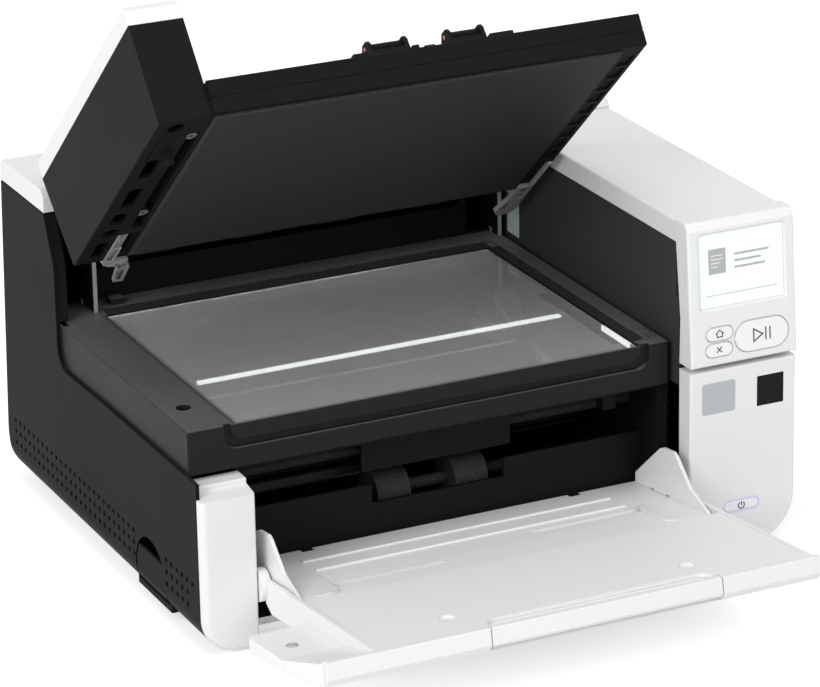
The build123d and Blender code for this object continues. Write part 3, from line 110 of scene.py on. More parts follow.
def buildSkin():
    # moulded or painted surface: rounded edges lightened partly as rub wear and partly as painted highlight,
    # fine grain, slow drift of colour and gloss
    tree, start, end = newGroup("mouldedSkin", (
        ("Colour", "colour", (0.8, 0.8, 0.8, 1)), ("Drift", "number", 0.04),
        ("Grain Scale", "number", 1800), ("Grain Depth", "number", 0.00001),
        ("Roughness", "number", 0.4), ("Roughness Spread", "number", 0.08),
        ("Edge Radius", "number", 0.0005), ("Rub And Highlight Colour", "colour", (0.9, 0.9, 0.9, 1)),
        ("Rub And Highlight", "number", 0.2), ("Dust And Top Sheen", "number", 0.0), ("Pocket Shade", "number", 0.0),
        ("Shaded Sides", "number", 0.0)), (("Colour", "colour"), ("Roughness", "number"), ("Normal", "vector")))
    coords = put(tree, "ShaderNodeTexCoord").outputs["Object"]
    rounded = put(tree, "ShaderNodeBevel", {"Radius": start.outputs["Edge Radius"]}, samples=4)
    grain = put(tree, "ShaderNodeTexNoise", {"Vector": coords, "Scale": start.outputs["Grain Scale"],
                                            "Detail": 3.0, "Roughness": 0.6})
    pebbleScale = sums(tree, "MULTIPLY", start.outputs["Grain Scale"], 0.55)
    pebble = put(tree, "ShaderNodeTexVoronoi", {"Vector": coords, "Scale": pebbleScale})
    height = sums(tree, "MULTIPLY_ADD", pebble.outputs["Distance"], 0.5, grain.outputs[0])
    bump = put(tree, "ShaderNodeBump", {"Height": height, "Distance": start.outputs["Grain Depth"],
                                       "Normal": rounded.outputs[0], "Strength": 1.0})
    slow = put(tree, "ShaderNodeTexNoise", {"Vector": coords, "Scale": 7.0, "Detail": 4.0})
    streak = put(tree, "ShaderNodeTexNoise", {"Vector": coords, "Scale": 60.0, "Detail": 5.0})
    driftShare = sums(tree, "MULTIPLY", slow.outputs[0], start.outputs["Drift"])
    darker = blendColours(tree, 1.0, start.outputs["Colour"], skinShades["drift"], "MULTIPLY")
    colour = blendColours(tree, driftShare, start.outputs["Colour"], darker)
    geometry = put(tree, "ShaderNodeNewGeometry")
    # edges take the rub colour: partly rub wear, partly painted edge highlight
    facing = put(tree, "ShaderNodeVectorMath", {0: rounded.outputs[0], 1: geometry.outputs["Normal"]},
                 operation="DOT_PRODUCT").outputs["Value"]
    bent = sums(tree, "MULTIPLY", sums(tree, "SUBTRACT", 1.0, facing), 9.0)
    bent.node.use_clamp = True
    patchy = put(tree, "ShaderNodeMapRange", {0: streak.outputs[0], 1: 0.4, 2: 0.62})
    rubAndHighlight = sums(tree, "MULTIPLY", sums(tree, "MULTIPLY", bent, patchy.outputs[0]), start.outputs["Rub And Highlight"])
    colour = blendColours(tree, rubAndHighlight, colour, start.outputs["Rub And Highlight Colour"])
    # faces that look up turn paler, partly as dust and partly as painted sheen standing in for the light on
    # the tops
    upward = put(tree, "ShaderNodeSeparateXYZ", {"Vector": geometry.outputs["Normal"]}).outputs["Z"]
    lying = put(tree, "ShaderNodeMapRange", {0: upward, 1: 0.6, 2: 1.0, 3: 0.0, 4: 1.0}).outputs[0]
    topSheenPatches = put(tree, "ShaderNodeMapRange", {0: slow.outputs[0], 1: 0.2, 2: 0.8, 3: 0.7, 4: 1.1}).outputs[0]
    dustAndSheen = sums(tree, "MULTIPLY", sums(tree, "MULTIPLY", lying, topSheenPatches), start.outputs["Dust And Top Sheen"])
    colour = blendColours(tree, dustAndSheen, colour, skinShades["dustAndSheen"])
    # painted shade: pockets get darker the more their own walls close them in
    nearWalls = put(tree, "ShaderNodeAmbientOcclusion", {"Distance": 0.006}, samples=6, only_local=True)
    closed = sums(tree, "SUBTRACT", 1.0, nearWalls.outputs["AO"])
    paintedPocketShade = sums(tree, "MULTIPLY", closed, start.outputs["Pocket Shade"])
    colour = blendColours(tree, paintedPocketShade, colour, skinShades["deep"])
    # painted shade: faces that look sideways along X are darkened to near black as if shaded, so sheet parts
    # are dark on their wide sides while their cut edges stay bare
    facingParts = put(tree, "ShaderNodeSeparateXYZ", {"Vector": geometry.outputs["Normal"]})
    sideways = sums(tree, "ABSOLUTE", facingParts.outputs["X"])
    shadedSideShare = sums(tree, "MULTIPLY", sums(tree, "GREATER_THAN", sideways, 0.7), start.outputs["Shaded Sides"])
    colour = blendColours(tree, shadedSideShare, colour, skinShades["deep"])
    offMiddle = sums(tree, "SUBTRACT", slow.outputs[0], 0.5)
    wander = sums(tree, "MULTIPLY", offMiddle, start.outputs["Roughness Spread"])
    rough = sums(tree, "ADD", start.outputs["Roughness"], wander)
    results = {"Colour": colour, "Roughness": rough, "Normal": bump.outputs[0]}
    for label, value in results.items():
        tree.links.new(value, end.inputs[label])
    return tree


def buildSpeckle():
    # foam and rubber: two tones of small cells with a bumpy face
    tree, start, end = newGroup("foamCells", (
        ("Dark", "colour", (0.01, 0.01, 0.01, 1)), ("Light", "colour", (0.2, 0.2, 0.2, 1)),
        ("Cell Scale", "number", 900), ("Depth", "number", 0.0003)),
        (("Colour", "colour"), ("Normal", "vector")))
    coords = put(tree, "ShaderNodeTexCoord").outputs["Object"]
    cells = put(tree, "ShaderNodeTexVoronoi", {"Vector": coords, "Scale": start.outputs["Cell Scale"]})
    fluff = put(tree, "ShaderNodeTexNoise", {"Vector": coords, "Scale": start.outputs["Cell Scale"],
                                            "Detail": 3.0})
    mixed = sums(tree, "MULTIPLY", cells.outputs["Distance"], fluff.outputs[0])
    share = put(tree, "ShaderNodeMapRange", {0: mixed, 1: 0.12, 2: 0.42})
    colour = blendColours(tree, share.outputs[0], start.outputs["Dark"], start.outputs["Light"])
    bump = put(tree, "ShaderNodeBump", {"Height": share.outputs[0], "Strength": 1.0,
                                       "Distance": start.outputs["Depth"]})
    tree.links.new(colour, end.inputs["Colour"])
    tree.links.new(bump.outputs[0], end.inputs["Normal"])
    return tree


skinGroup, foamGroup = buildSkin(), buildSpeckle()


def newMaterial(name):
    material = bpy.data.materials.new(name)
    material.use_nodes = True
    return material, material.node_tree, material.node_tree.nodes["Principled BSDF"]


def mouldedMaterial(name, look):
    material, tree, surface = newMaterial(name)
    skin = put(tree, "ShaderNodeGroup", node_tree=skinGroup)
    skin.inputs["Colour"].default_value = (*look["colour"], 1)
    skin.inputs["Rub And Highlight Colour"].default_value = (*look.get("rubAndHighlightColour", look["colour"]), 1)
    for socket, key in (("Drift", "drift"), ("Grain Scale", "grainScale"), ("Grain Depth", "grainDepth"),
                        ("Roughness", "roughness"), ("Roughness Spread", "spread"),
                        ("Edge Radius", "edge"), ("Rub And Highlight", "rubAndHighlight"), ("Dust And Top Sheen", "dustAndSheen"), ("Pocket Shade", "pocketShade"),
                        ("Shaded Sides", "shadedSides")):
        if key in look:
            skin.inputs[socket].default_value = look[key]
    tree.links.new(skin.outputs["Colour"], surface.inputs["Base Color"])
    tree.links.new(skin.outputs["Roughness"], surface.inputs["Roughness"])
    tree.links.new(skin.outputs["Normal"], surface.inputs["Normal"])
    surface.inputs["Metallic"].default_value = look.get("metallic", 0)
    surface.inputs["Specular IOR Level"].default_value = look.get("specular", 0.5)
    surface.inputs["Coat Weight"].default_value = look.get("coat", 0)
    surface.inputs["Coat Roughness"].default_value = look.get("coatRoughness", 0.1)
    if "glow" in look:
        surface.inputs["Emission Color"].default_value = (*look["colour"], 1)
        surface.inputs["Emission Strength"].default_value = look["glow"]
    return material


# rub colours lighten edges partly as wear and partly as painted highlight; dust pales upward faces partly as
# dust and partly as painted sheen
looks = {
    "whiteShell": {"colour": (0.77, 0.783, 0.78), "roughness": 0.36, "spread": 0.06, "drift": 0.04,
                   "grainScale": 2200, "grainDepth": 0.000008, "edge": 0.0007,
                   "rubAndHighlightColour": (0.88, 0.89, 0.885), "rubAndHighlight": 0.3},
    "whiteTray": {"colour": (0.80, 0.805, 0.805), "roughness": 0.5, "spread": 0.08, "drift": 0.06,
                  "grainScale": 1700, "grainDepth": 0.00002, "edge": 0.0007, "specular": 0.35,
                  "rubAndHighlightColour": (0.86, 0.87, 0.865), "rubAndHighlight": 0.3},
    "whiteKey": {"colour": (0.83, 0.84, 0.84), "roughness": 0.3, "drift": 0.03, "grainScale": 2600,
                 "grainDepth": 0.000004, "edge": 0.0005, "rubAndHighlight": 0.1},
    "blackShell": {"colour": (0.0105, 0.0105, 0.0108), "roughness": 0.48, "spread": 0.1, "drift": 0.3,
                   "grainScale": 1500, "grainDepth": 0.00002, "edge": 0.0006, "dustAndSheen": 0.03,
                   "rubAndHighlightColour": (0.05, 0.05, 0.052), "rubAndHighlight": 0.35, "specular": 0.025},
    "blackWall": {"colour": (0.038, 0.038, 0.0384), "roughness": 0.42, "spread": 0.1, "drift": 0.3,
                  "grainScale": 1500, "grainDepth": 0.00002, "edge": 0.0006, "specular": 0.3,
                  "rubAndHighlightColour": (0.04, 0.04, 0.042), "rubAndHighlight": 0.3},
    "blackBezel": {"colour": (0.017, 0.0172, 0.0176), "roughness": 0.42, "spread": 0.1, "drift": 0.25,
                   "grainScale": 1300, "grainDepth": 0.00003, "edge": 0.0007, "dustAndSheen": 0.3,
                   "rubAndHighlightColour": (0.1, 0.1, 0.102), "rubAndHighlight": 0.4, "specular": 0.06},
    # darker copy of the black plastic for parts deep inside: painted shade
    "blackInnerShaded": {"colour": (0.0065, 0.0065, 0.0067), "roughness": 0.6, "spread": 0.1, "drift": 0.3,
                   "grainScale": 1100, "grainDepth": 0.00002, "edge": 0.0005, "specular": 0.12,
                   "rubAndHighlightColour": (0.02, 0.02, 0.02), "rubAndHighlight": 0.2},
    "padSheet": {"colour": (0.021, 0.0212, 0.0216), "roughness": 0.62, "spread": 0.1, "drift": 0.2,
                 "grainScale": 600, "grainDepth": 0.00003, "edge": 0.0004, "specular": 0.2, "rubAndHighlight": 0.1},
    # cast arms: the bright rub colour on their edges is painted highlight, and their pockets get painted
    # shade
    "castGrey": {"colour": (0.42, 0.415, 0.40), "metallic": 0.3, "roughness": 0.42, "spread": 0.15,
                 "drift": 0.4, "grainScale": 500, "grainDepth": 0.00006, "edge": 0.0006, "pocketShade": 0.85,
                 "rubAndHighlightColour": (0.8, 0.79, 0.77), "rubAndHighlight": 0.8},
    # hinge frames: their sideways faces are darkened as painted shade
    "frameShadedSides": {"colour": (0.36, 0.36, 0.35), "metallic": 0.3, "roughness": 0.42, "spread": 0.1,
                   "drift": 0.2, "grainScale": 900, "grainDepth": 0.00001, "edge": 0.0003, "shadedSides": 1.0},
    "edgeTrim": {"colour": (0.075, 0.077, 0.076), "roughness": 0.4, "drift": 0.1, "grainScale": 1500,
                 "grainDepth": 0.00001, "edge": 0.0001, "specular": 0.3},
    "steel": {"colour": (0.5, 0.5, 0.5), "metallic": 1.0, "roughness": 0.28, "spread": 0.12, "drift": 0.2,
              "grainScale": 900, "grainDepth": 0.00001, "edge": 0.0004, "rubAndHighlight": 0.2,
              "rubAndHighlightColour": (0.75, 0.75, 0.75)},
    "brightScrew": {"colour": (0.62, 0.64, 0.68), "metallic": 0.4, "roughness": 0.3, "drift": 0.2,
                    "grainScale": 900, "grainDepth": 0.00001, "edge": 0.0004},
    "copperPin": {"colour": (0.42, 0.17, 0.10), "metallic": 1.0, "roughness": 0.35, "drift": 0.2,
                  "grainScale": 900, "grainDepth": 0.00001, "edge": 0.0003},
    "greyPlastic": {"colour": (0.24, 0.245, 0.25), "roughness": 0.4, "drift": 0.1, "grainScale": 1200,
                    "grainDepth": 0.00001, "edge": 0.0004},
    "motorPaint": {"colour": (0.22, 0.225, 0.23), "metallic": 0.6, "roughness": 0.4, "drift": 0.2,
                   "grainScale": 900, "grainDepth": 0.00002, "edge": 0.0006},
    "belt": {"colour": (0.012, 0.012, 0.012), "roughness": 0.7, "drift": 0.2, "grainScale": 700,
             "grainDepth": 0.00008, "edge": 0.0003},
    "board": {"colour": (0.02, 0.1, 0.045), "roughness": 0.35, "drift": 0.4, "grainScale": 300,
              "grainDepth": 0.00002, "edge": 0.0002},
    "markGrey": {"colour": (0.05, 0.052, 0.055), "roughness": 0.5, "drift": 0.1, "grainScale": 2000,
                 "grainDepth": 0.000003, "edge": 0.00005},
    "markPale": {"colour": (0.42, 0.43, 0.44), "roughness": 0.5, "drift": 0.1, "grainScale": 2000,
                 "grainDepth": 0.000003, "edge": 0.00005},
    "markDark": {"colour": (0.004, 0.004, 0.004), "roughness": 0.5, "drift": 0.1, "grainScale": 2000,
                 "grainDepth": 0.000003, "edge": 0.00005, "specular": 0.1},
    "whiteStrip": {"colour": (0.8, 0.8, 0.78), "roughness": 0.4, "drift": 0.05, "grainScale": 1500,
                   "grainDepth": 0.000004, "edge": 0.0001},
    # under-glass label: its glow is painted light, it is no lamp
    "underGlassLabelGlow": {"colour": (0.8, 0.8, 0.79), "roughness": 0.4, "drift": 0.05, "grainScale": 1500,
                   "grainDepth": 0.000004, "edge": 0.0001, "glow": 1.1},
    "stepShade": {"colour": (0.03, 0.0302, 0.0306), "roughness": 0.45, "spread": 0.1, "drift": 0.2,
                  "grainScale": 1300, "grainDepth": 0.00003, "edge": 0.0001, "specular": 0.1},
    # blue-grey for a white surface seen in shade: painted shade
    "shadedWhiteBlue": {"colour": (0.44, 0.53, 0.54), "roughness": 0.5, "drift": 0.2, "grainScale": 1500,
                 "grainDepth": 0.000004, "edge": 0.0001},
    "glowRing": {"colour": (0.60, 0.55, 0.84), "roughness": 0.35, "drift": 0.03, "grainScale": 1500,
                 "grainDepth": 0.000004, "edge": 0.0002, "glow": 0.2},
    "lampGuide": {"colour": (0.8, 0.82, 0.81), "roughness": 0.2, "drift": 0.05, "grainScale": 1500,
                  "grainDepth": 0.000004, "edge": 0.0004, "coat": 0.3, "glow": 2.4},
    "screenGlass": {"colour": (0.80, 0.83, 0.845), "roughness": 0.16, "drift": 0.02, "grainScale": 1500,
                    "grainDepth": 0.000001, "edge": 0.0003, "glow": 0.12, "coat": 0.7, "coatRoughness": 0.05},
    "silverSticker": {"colour": (0.42, 0.44, 0.46), "roughness": 0.22, "drift": 0.06, "grainScale": 2500,
                      "grainDepth": 0.000003, "edge": 0.0001, "coat": 0.5},
    "darkSticker": {"colour": (0.006, 0.006, 0.006), "roughness": 0.3, "drift": 0.1, "grainScale": 2500,
                    "grainDepth": 0.000003, "edge": 0.0001, "specular": 0.1},
}
finishes = {name: mouldedMaterial(name, look) for name, look in looks.items()}


def cellMaterial(name, dark, light, scale, depth, roughness):
    material, tree, surface = newMaterial(name)
    cells = put(tree, "ShaderNodeGroup", {"Dark": (*dark, 1), "Light": (*light, 1), "Cell Scale": scale,
                                         "Depth": depth}, node_tree=foamGroup)
    tree.links.new(cells.outputs["Colour"], surface.inputs["Base Color"])
    tree.links.new(cells.outputs["Normal"], surface.inputs["Normal"])
    surface.inputs["Roughness"].default_value = roughness
    return material


finishes["foam"] = cellMaterial("foam", (0.004, 0.004, 0.004), (0.03, 0.0295, 0.029), 900, 0.0004, 0.9)
finishes["rubber"] = cellMaterial("rubber", (0.005, 0.005, 0.005), (0.02, 0.02, 0.021), 700, 0.0001, 0.8)


bedGlassLook = {"smearScale": 14.0, "smearRoughness": 0.012, "clear": 0.72, "ior": 1.5,
                "sheenTints": ((0.80, 0.812, 0.808, 1), (0.86, 0.872, 0.868, 1))}


def bedGlassMaterial():
    # clear glass with a pale base colour, a painted reflection standing in for its grey sheen: part of the
    # light goes through, part comes back
    material, tree, surface = newMaterial("bedGlass")
    coords = put(tree, "ShaderNodeTexCoord").outputs["Object"]
    smears = put(tree, "ShaderNodeTexNoise", {"Vector": coords, "Scale": bedGlassLook["smearScale"],
                                              "Detail": 5.0})
    share = put(tree, "ShaderNodeMapRange", {0: smears.outputs[0], 1: 0.35, 2: 0.75, 3: 0.0,
                                             4: bedGlassLook["smearRoughness"]})
    tree.links.new(share.outputs[0], surface.inputs["Roughness"])
    tint = blendColours(tree, smears.outputs[0], *bedGlassLook["sheenTints"])
    tree.links.new(tint, surface.inputs["Base Color"])
    surface.inputs["Transmission Weight"].default_value = bedGlassLook["clear"]
    surface.inputs["IOR"].default_value = bedGlassLook["ior"]
    return material


finishes["bedGlass"] = bedGlassMaterial()

dressing = {
    "whiteShell": ("tower_cap", "left_pillar", "right_lower_panel", "display_bezel", "arm_top_cover",
                   "lid_arm_cap", "guide_left", "guide_right"),
    "whiteTray": ("input_tray", "tray_cover", "tray_extender", "elevator_plate"),
    "whiteKey": ("power_button", "home_button", "cancel_button", "start_button"),
    "blackShell": ("left_side_panel", "right_side_panel", "rear_cover", "lid_shell", "output_panel",
                   "lid_arm_body", "side_paddle", "output_stop_left", "output_stop_right"),
    "blackWall": ("arm_inner_wall",), "blackBezel": ("flatbed_bezel",), "copperPin": ("stop_pins",),
    "blackInnerShaded": ("rear_sockets", "tower_front", "flatbed_tub", "feeder_chassis", "paper_guides",
                   "scan_bars", "scan_carriage"),
    "padSheet": ("backing_pad",), "foam": ("pad_foam",),
    "rubber": ("feet", "feed_roller", "separation_roller", "drive_roller", "pinch_roller", "exit_roller"),
    "castGrey": ("hinge_arm_left", "hinge_arm_right"), "frameShadedSides": ("hinge_frames",),
    "steel": ("base_pan", "carriage_rod", "hinge_pins", "lid_screws"), "brightScrew": ("tray_screws",),
    "motorPaint": ("drive_motors",), "belt": ("drive_belts",), "board": ("main_board",),
    "greyPlastic": ("guide_pinion",), "whiteStrip": ("reference_strip",), "glowRing": ("power_ring",),
    "lampGuide": ("lamp_bar",), "screenGlass": ("display_screen",), "bedGlass": ("flatbed_glass",),
}
for finish, dressed in dressing.items():
    for name in dressed:
        mesh = nodes[name].data
        mesh.materials.clear()
        mesh.materials.append(finishes[finish])
print("finishes on", sum(len(d) for d in dressing.values()), "nodes")


# Surfaces made as grids of points.
def gridFaces(rows, columns, wrap, firstPoint=0):
    # quads between neighbours of a rows by columns grid; wrap joins the last column to the first
    r = np.arange(rows - 1)[:, None]
    c = np.arange(columns if wrap else columns - 1)[None, :]
    nextColumn = (c + 1) % columns
    below, above = r * columns, (r + 1) * columns
    corners = (below + c, above + c, above + nextColumn, below + nextColumn)
    return (np.stack(np.broadcast_arrays(*corners), -1).reshape(-1, 4) + firstPoint).tolist()


def makePiece(name, points, faces, finish, body):
    mesh = bpy.data.meshes.new(name)
    mesh.from_pydata(points.tolist(), [], faces)
    work = bmesh.new()
    work.from_mesh(mesh)
    bmesh.ops.remove_doubles(work, verts=work.verts, dist=1e-7)
    bmesh.ops.recalc_face_normals(work, faces=work.faces)
    work.to_mesh(mesh)
    work.free()
    mesh.materials.append(finishes[finish])
    mesh.shade_flat()
    piece = bpy.data.objects.new(name, mesh)
    bpy.context.scene.collection.objects.link(piece)
    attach(piece, body)


def roundedOutline(width, height, radius, steps=8):
    # corner arcs of a rounded rectangle about the origin: centre plus radius times (cos, sin)
    turns = np.linspace(0, math.pi / 2, steps)
    angles = (np.arange(4)[:, None] * math.pi / 2 + turns[None, :]).reshape(-1)
    signs = np.repeat(np.array([(1, 1), (-1, 1), (-1, -1), (1, -1)]), steps, axis=0)
    centre = signs * (width / 2 - radius, height / 2 - radius)
    return centre + radius * np.stack((np.cos(angles), np.sin(angles)), 1)


def plate(name, outline, at, thick, place, finish, body, sunk=0.1, bevel=0.12):
    # outline carried up from below the surface, with a small bevel at its top edge
    n = len(outline)
    shrink = 1 - bevel * 2 / np.maximum(np.ptp(outline, axis=0), 0.5)
    levels = ((-sunk, 1.0), (thick - bevel * 0.6, 1.0), (thick, shrink))
    rings = [np.column_stack((outline * scale + at, np.full(n, z))) for z, scale in levels]
    faces = gridFaces(3, n, True) + [list(range(n)), list(range(2 * n, 3 * n))]
    makePiece(name, place(np.concatenate(rings)), faces, finish, body)


def ribbon(name, path, width, thick, place, finish, body, closed=False, sunk=0.05):
    # flat-topped bar carried along a path: path + offset times its normal, at each profile point
    path = np.array(path, float)
    before = np.roll(path, 1, 0) if closed else np.vstack((2 * path[0] - path[1], path[:-1]))
    after = np.roll(path, -1, 0) if closed else np.vstack((path[1:], 2 * path[-1] - path[-2]))
    inward, outward = path - before, after - path
    inward /= np.linalg.norm(inward, axis=1, keepdims=True)
    outward /= np.linalg.norm(outward, axis=1, keepdims=True)
    along = inward + outward
    along /= np.linalg.norm(along, axis=1, keepdims=True)
    normal = np.column_stack((-along[:, 1], along[:, 0]))
    mitre = 1 / np.maximum(np.sum(along * outward, axis=1), 0.4)
    profile = np.array(((-0.5, -sunk), (-0.5, thick * 0.6), (-0.38, thick),
                        (0.38, thick), (0.5, thick * 0.6), (0.5, -sunk)))
    flat = path[:, None, :] + normal[:, None, :] * (profile[None, :, :1] * width * mitre[:, None, None])
    points = np.concatenate((flat, np.broadcast_to(profile[None, :, 1:], flat.shape[:2] + (1,))), -1)
    rows, columns = points.shape[:2]
    points = points.reshape(-1, 3)
    if closed:
        points = np.vstack((points, points[:columns]))
        faces = gridFaces(rows + 1, columns, True)
    else:
        ends = [list(range(columns)), list(range((rows - 1) * columns, rows * columns))]
        faces = gridFaces(rows, columns, True) + ends
    makePiece(name, place(points), faces, finish, body)


def arc(centre, radius, fromAngle, toAngle, steps=24):
    # circle points: centre + radius (cos, sin)
    angles = np.radians(np.linspace(fromAngle, toAngle, steps))
    return np.column_stack((centre[0] + radius * np.cos(angles), centre[1] + radius * np.sin(angles)))


# Keys, icons and screen.
markThick = 0.12
keyMarks = {"lift": 0.42, "outline": 0.35, "inset": 0.5, "home": (157.2, 21.8), "cancel": (156.6, 10.9),
            "start": (189, 16.4), "smallKey": (20.4, 9.6), "largeKey": (41, 21.6), "rimThick": 0.05}


def raisedOn(place, height):
    return lambda p: place(p + (0, 0, height))


keyTop = raisedOn(displayFrame, keyMarks["lift"])
for name, size in (("home", "smallKey"), ("cancel", "smallKey"), ("start", "largeKey")):
    w, h = (side - keyMarks["inset"] for side in keyMarks[size])
    ribbon(name + "KeyRim", roundedOutline(w, h, h / 2, steps=14) + keyMarks[name], keyMarks["outline"],
           keyMarks["rimThick"], keyTop, "markPale", name + "_key", closed=True)
# strokes about the middle of each key: a house, a cross, an arrow head with two bars
keyIcons = {
    "homeRoof": {"key": "home", "line": 0.75, "points": ((-2.9, 0), (0, 2.5), (2.9, 0))},
    "homeWalls": {"key": "home", "line": 0.75, "points": ((-2, 0.6), (-2, -2.2), (2, -2.2), (2, 0.6))},
    "cancelStrokeUp": {"key": "cancel", "line": 0.75, "points": ((-1.9, -1.9), (1.9, 1.9))},
    "cancelStrokeDown": {"key": "cancel", "line": 0.75, "points": ((-1.9, 1.9), (1.9, -1.9))},
    "startArrow": {"key": "start", "line": 0.95, "points": ((-6.2, -4.3), (-6.2, 4.3), (0.6, 0)),
                   "closed": True},
    "startBarLeft": {"key": "start", "line": 0.95, "points": ((3, -4.4), (3, 4.4))},
    "startBarRight": {"key": "start", "line": 0.95, "points": ((6.2, -4.4), (6.2, 4.4))},
}
for name, icon in keyIcons.items():
    ribbon(name, np.array(icon["points"]) + keyMarks[icon["key"]], icon["line"], markThick, keyTop,
           "markGrey", icon["key"] + "_key", closed=icon.get("closed", False))
powerMark = {"radius": 2.3, "turn": (125, 415), "stroke": ((0, 0.1), (0, 2.9)), "line": 0.75}
for name, path in (("powerArc", arc((0, 0), powerMark["radius"], *powerMark["turn"], steps=32)),
                   ("powerStroke", powerMark["stroke"])):
    ribbon(name, path, powerMark["line"], markThick, powerFrame, "markDark", "power_key")

# a page with four lines on it, three rows beside it and a rule below, placed from the screen's middle
screen = {"middle": np.array((176, 64.9)), "depth": -1.55, "page": (-18, 6), "pageSize": (13, 17),
          "pageCorner": 0.8, "pageThick": 0.05, "rule": ((-27, -17), (27, -17)), "ruleWidth": 0.4,
          "rowThick": 0.06}
screenTop = raisedOn(displayFrame, screen["depth"])
page = screen["middle"] + screen["page"]
plate("screenDocument", roundedOutline(*screen["pageSize"], screen["pageCorner"]), page,
      screen["pageThick"], screenTop, "markPale", "base", bevel=0.02)
screenStripes = {
    "screenLine": {"start": page + (-4.6, 0), "rows": ((9, 4), (9, 1.4), (7, -1.2), (5, -3.8)),
                   "width": 0.7, "thick": 0.1, "finish": "whiteStrip"},
    "screenRow": {"start": screen["middle"] + (-5, 0), "rows": ((26, 9), (20, 4.5), (23, 0)),
                  "width": 1.4, "thick": screen["rowThick"], "finish": "markPale"},
}
for label, stripes in screenStripes.items():
    for i, (length, height) in enumerate(stripes["rows"]):
        ribbon(f"{label}{i}", stripes["start"] + ((0, height), (length, height)), stripes["width"],
               stripes["thick"], screenTop, stripes["finish"], "base")
ribbon("screenFoot", screen["middle"] + screen["rule"], screen["ruleWidth"], screen["rowThick"], screenTop,
       "markPale", "base")

# two bare labels on the right-hand panel
stickers = {"silverSticker": {"size": (25.3, 22.3), "corner": 2.2, "middle": (157, 111)},
            "darkSticker": {"size": (20.3, 21.4), "corner": 0.6, "middle": (196.4, 110)}}
for name, label in stickers.items():
    plate(name, roundedOutline(*label["size"], label["corner"]), label["middle"], markThick, coverFrame,
          name, "base")
print("keys, icons and screen made")

# Small marks and fittings.
stepFrame = flatFrame((0, 0, 146.9), (1, 0, 0), (0, 1, 0))
sideFrame = flatFrame((-216, 0, 0), (0, -1, 0), (0, 0, 1))
wallFrame = flatFrame((136, 0, 0), (0, -1, 0), (0, 0, 1))
lidUnder = flatFrame(lidFrame(np.array([[0.0, 0, 148.2]]))[0] / mm, (1, 0, 0), (0, -lidCos, lidSin))

# wedges around the glass; the first two lie on the step, and two of the four have a bar beside them
rimMarks = {"size": 1.7, "line": 0.35, "lift": 0.03, "foot": 0.5, "barGap": 1.6, "barDrop": 1.5,
            "places": ((-151.5, 169, 1), (-122.8, 169, 0), (118, 153, 1), (117.6, 118, 0))}
w = rimMarks["size"]
for i, (x, y, twin) in enumerate(rimMarks["places"]):
    shapes = {"rimWedge": [(x - w, y + w), (x + w, y + w), (x, y - w * rimMarks["foot"])]}
    if twin:
        barSide = x - w - rimMarks["barGap"]
        shapes["rimBar"] = [(barSide, y - rimMarks["barDrop"]), (barSide, y + w)]
    for label, shape in shapes.items():
        ribbon(f"{label}{i}", shape, rimMarks["line"], rimMarks["lift"], stepFrame if i < 2 else bedFrame,
               "markDark", "base", closed=label == "rimWedge")

# sheet with a folded corner and an arrow, printed beside the glass
sheetMark = {"corner": (120, -57), "size": (10, 20), "fold": 3.5, "line": 0.7, "lift": 0.03,
             "head": ((1.8, 7), (5, 3), (8.2, 7)), "stem": ((5, 3.4), (5, 13))}
w, h = sheetMark["size"]
fold = sheetMark["fold"]
for name, shape in (("bedSheetMark", ((0, 0), (w - fold, 0), (w, fold), (w, h), (0, h))),
                    ("bedArrowMark", sheetMark["head"]), ("bedArrowStem", sheetMark["stem"])):
    ribbon(name, np.array(shape) + sheetMark["corner"], sheetMark["line"], sheetMark["lift"], bedFrame,
           "markDark", "base", closed=name == "bedSheetMark")

# plus on the side paddle
plusMark = {"middle": (-2.6, 55.4), "reach": 3.6, "line": 0.8, "thick": 0.1}
for label, way in (("Across", (1, 0)), ("Up", (0, 1))):
    ends = np.array(way) * plusMark["reach"] * ((-1,), (1,)) + plusMark["middle"]
    ribbon("paddlePlus" + label, ends, plusMark["line"], plusMark["thick"], sideFrame, "markDark", "base")

# bare pale label under the right-hand edge of the glass, its ends cut aslant; it glows faintly, painted light
# since it is no lamp
bedLabel = {"across": (105, 110), "near": -54.6, "far": -14.2, "slant": 9.3, "height": 143.53,
            "middle": (107, -38), "thick": 0.05}
x0, x1 = bedLabel["across"]
y0, y1, slant = bedLabel["near"], bedLabel["far"], bedLabel["slant"]
labelShape = np.array([(x0, y0 - slant), (x1, y0), (x1, y1), (x0, y1 - slant)]) - bedLabel["middle"]
labelFrame = flatFrame((0, 0, bedLabel["height"]), (1, 0, 0), (0, 1, 0))
plate("bedLabel", labelShape, bedLabel["middle"], bedLabel["thick"], labelFrame, "underGlassLabelGlow", "base",
      sunk=0.02, bevel=0.01)

# pale blue-grey patch on the inner wall of the right arm, near its rear end: painted shade, a white surface
# as it looks in shadow
wallShadePatch = {"size": (18.5, 24), "corner": 0.8, "middle": (-166.75, 162), "thick": 0.15}
plate("wallEndShadePatch", roundedOutline(*wallShadePatch["size"], wallShadePatch["corner"]), wallShadePatch["middle"],
      wallShadePatch["thick"], wallFrame, "shadedWhiteBlue", "base")

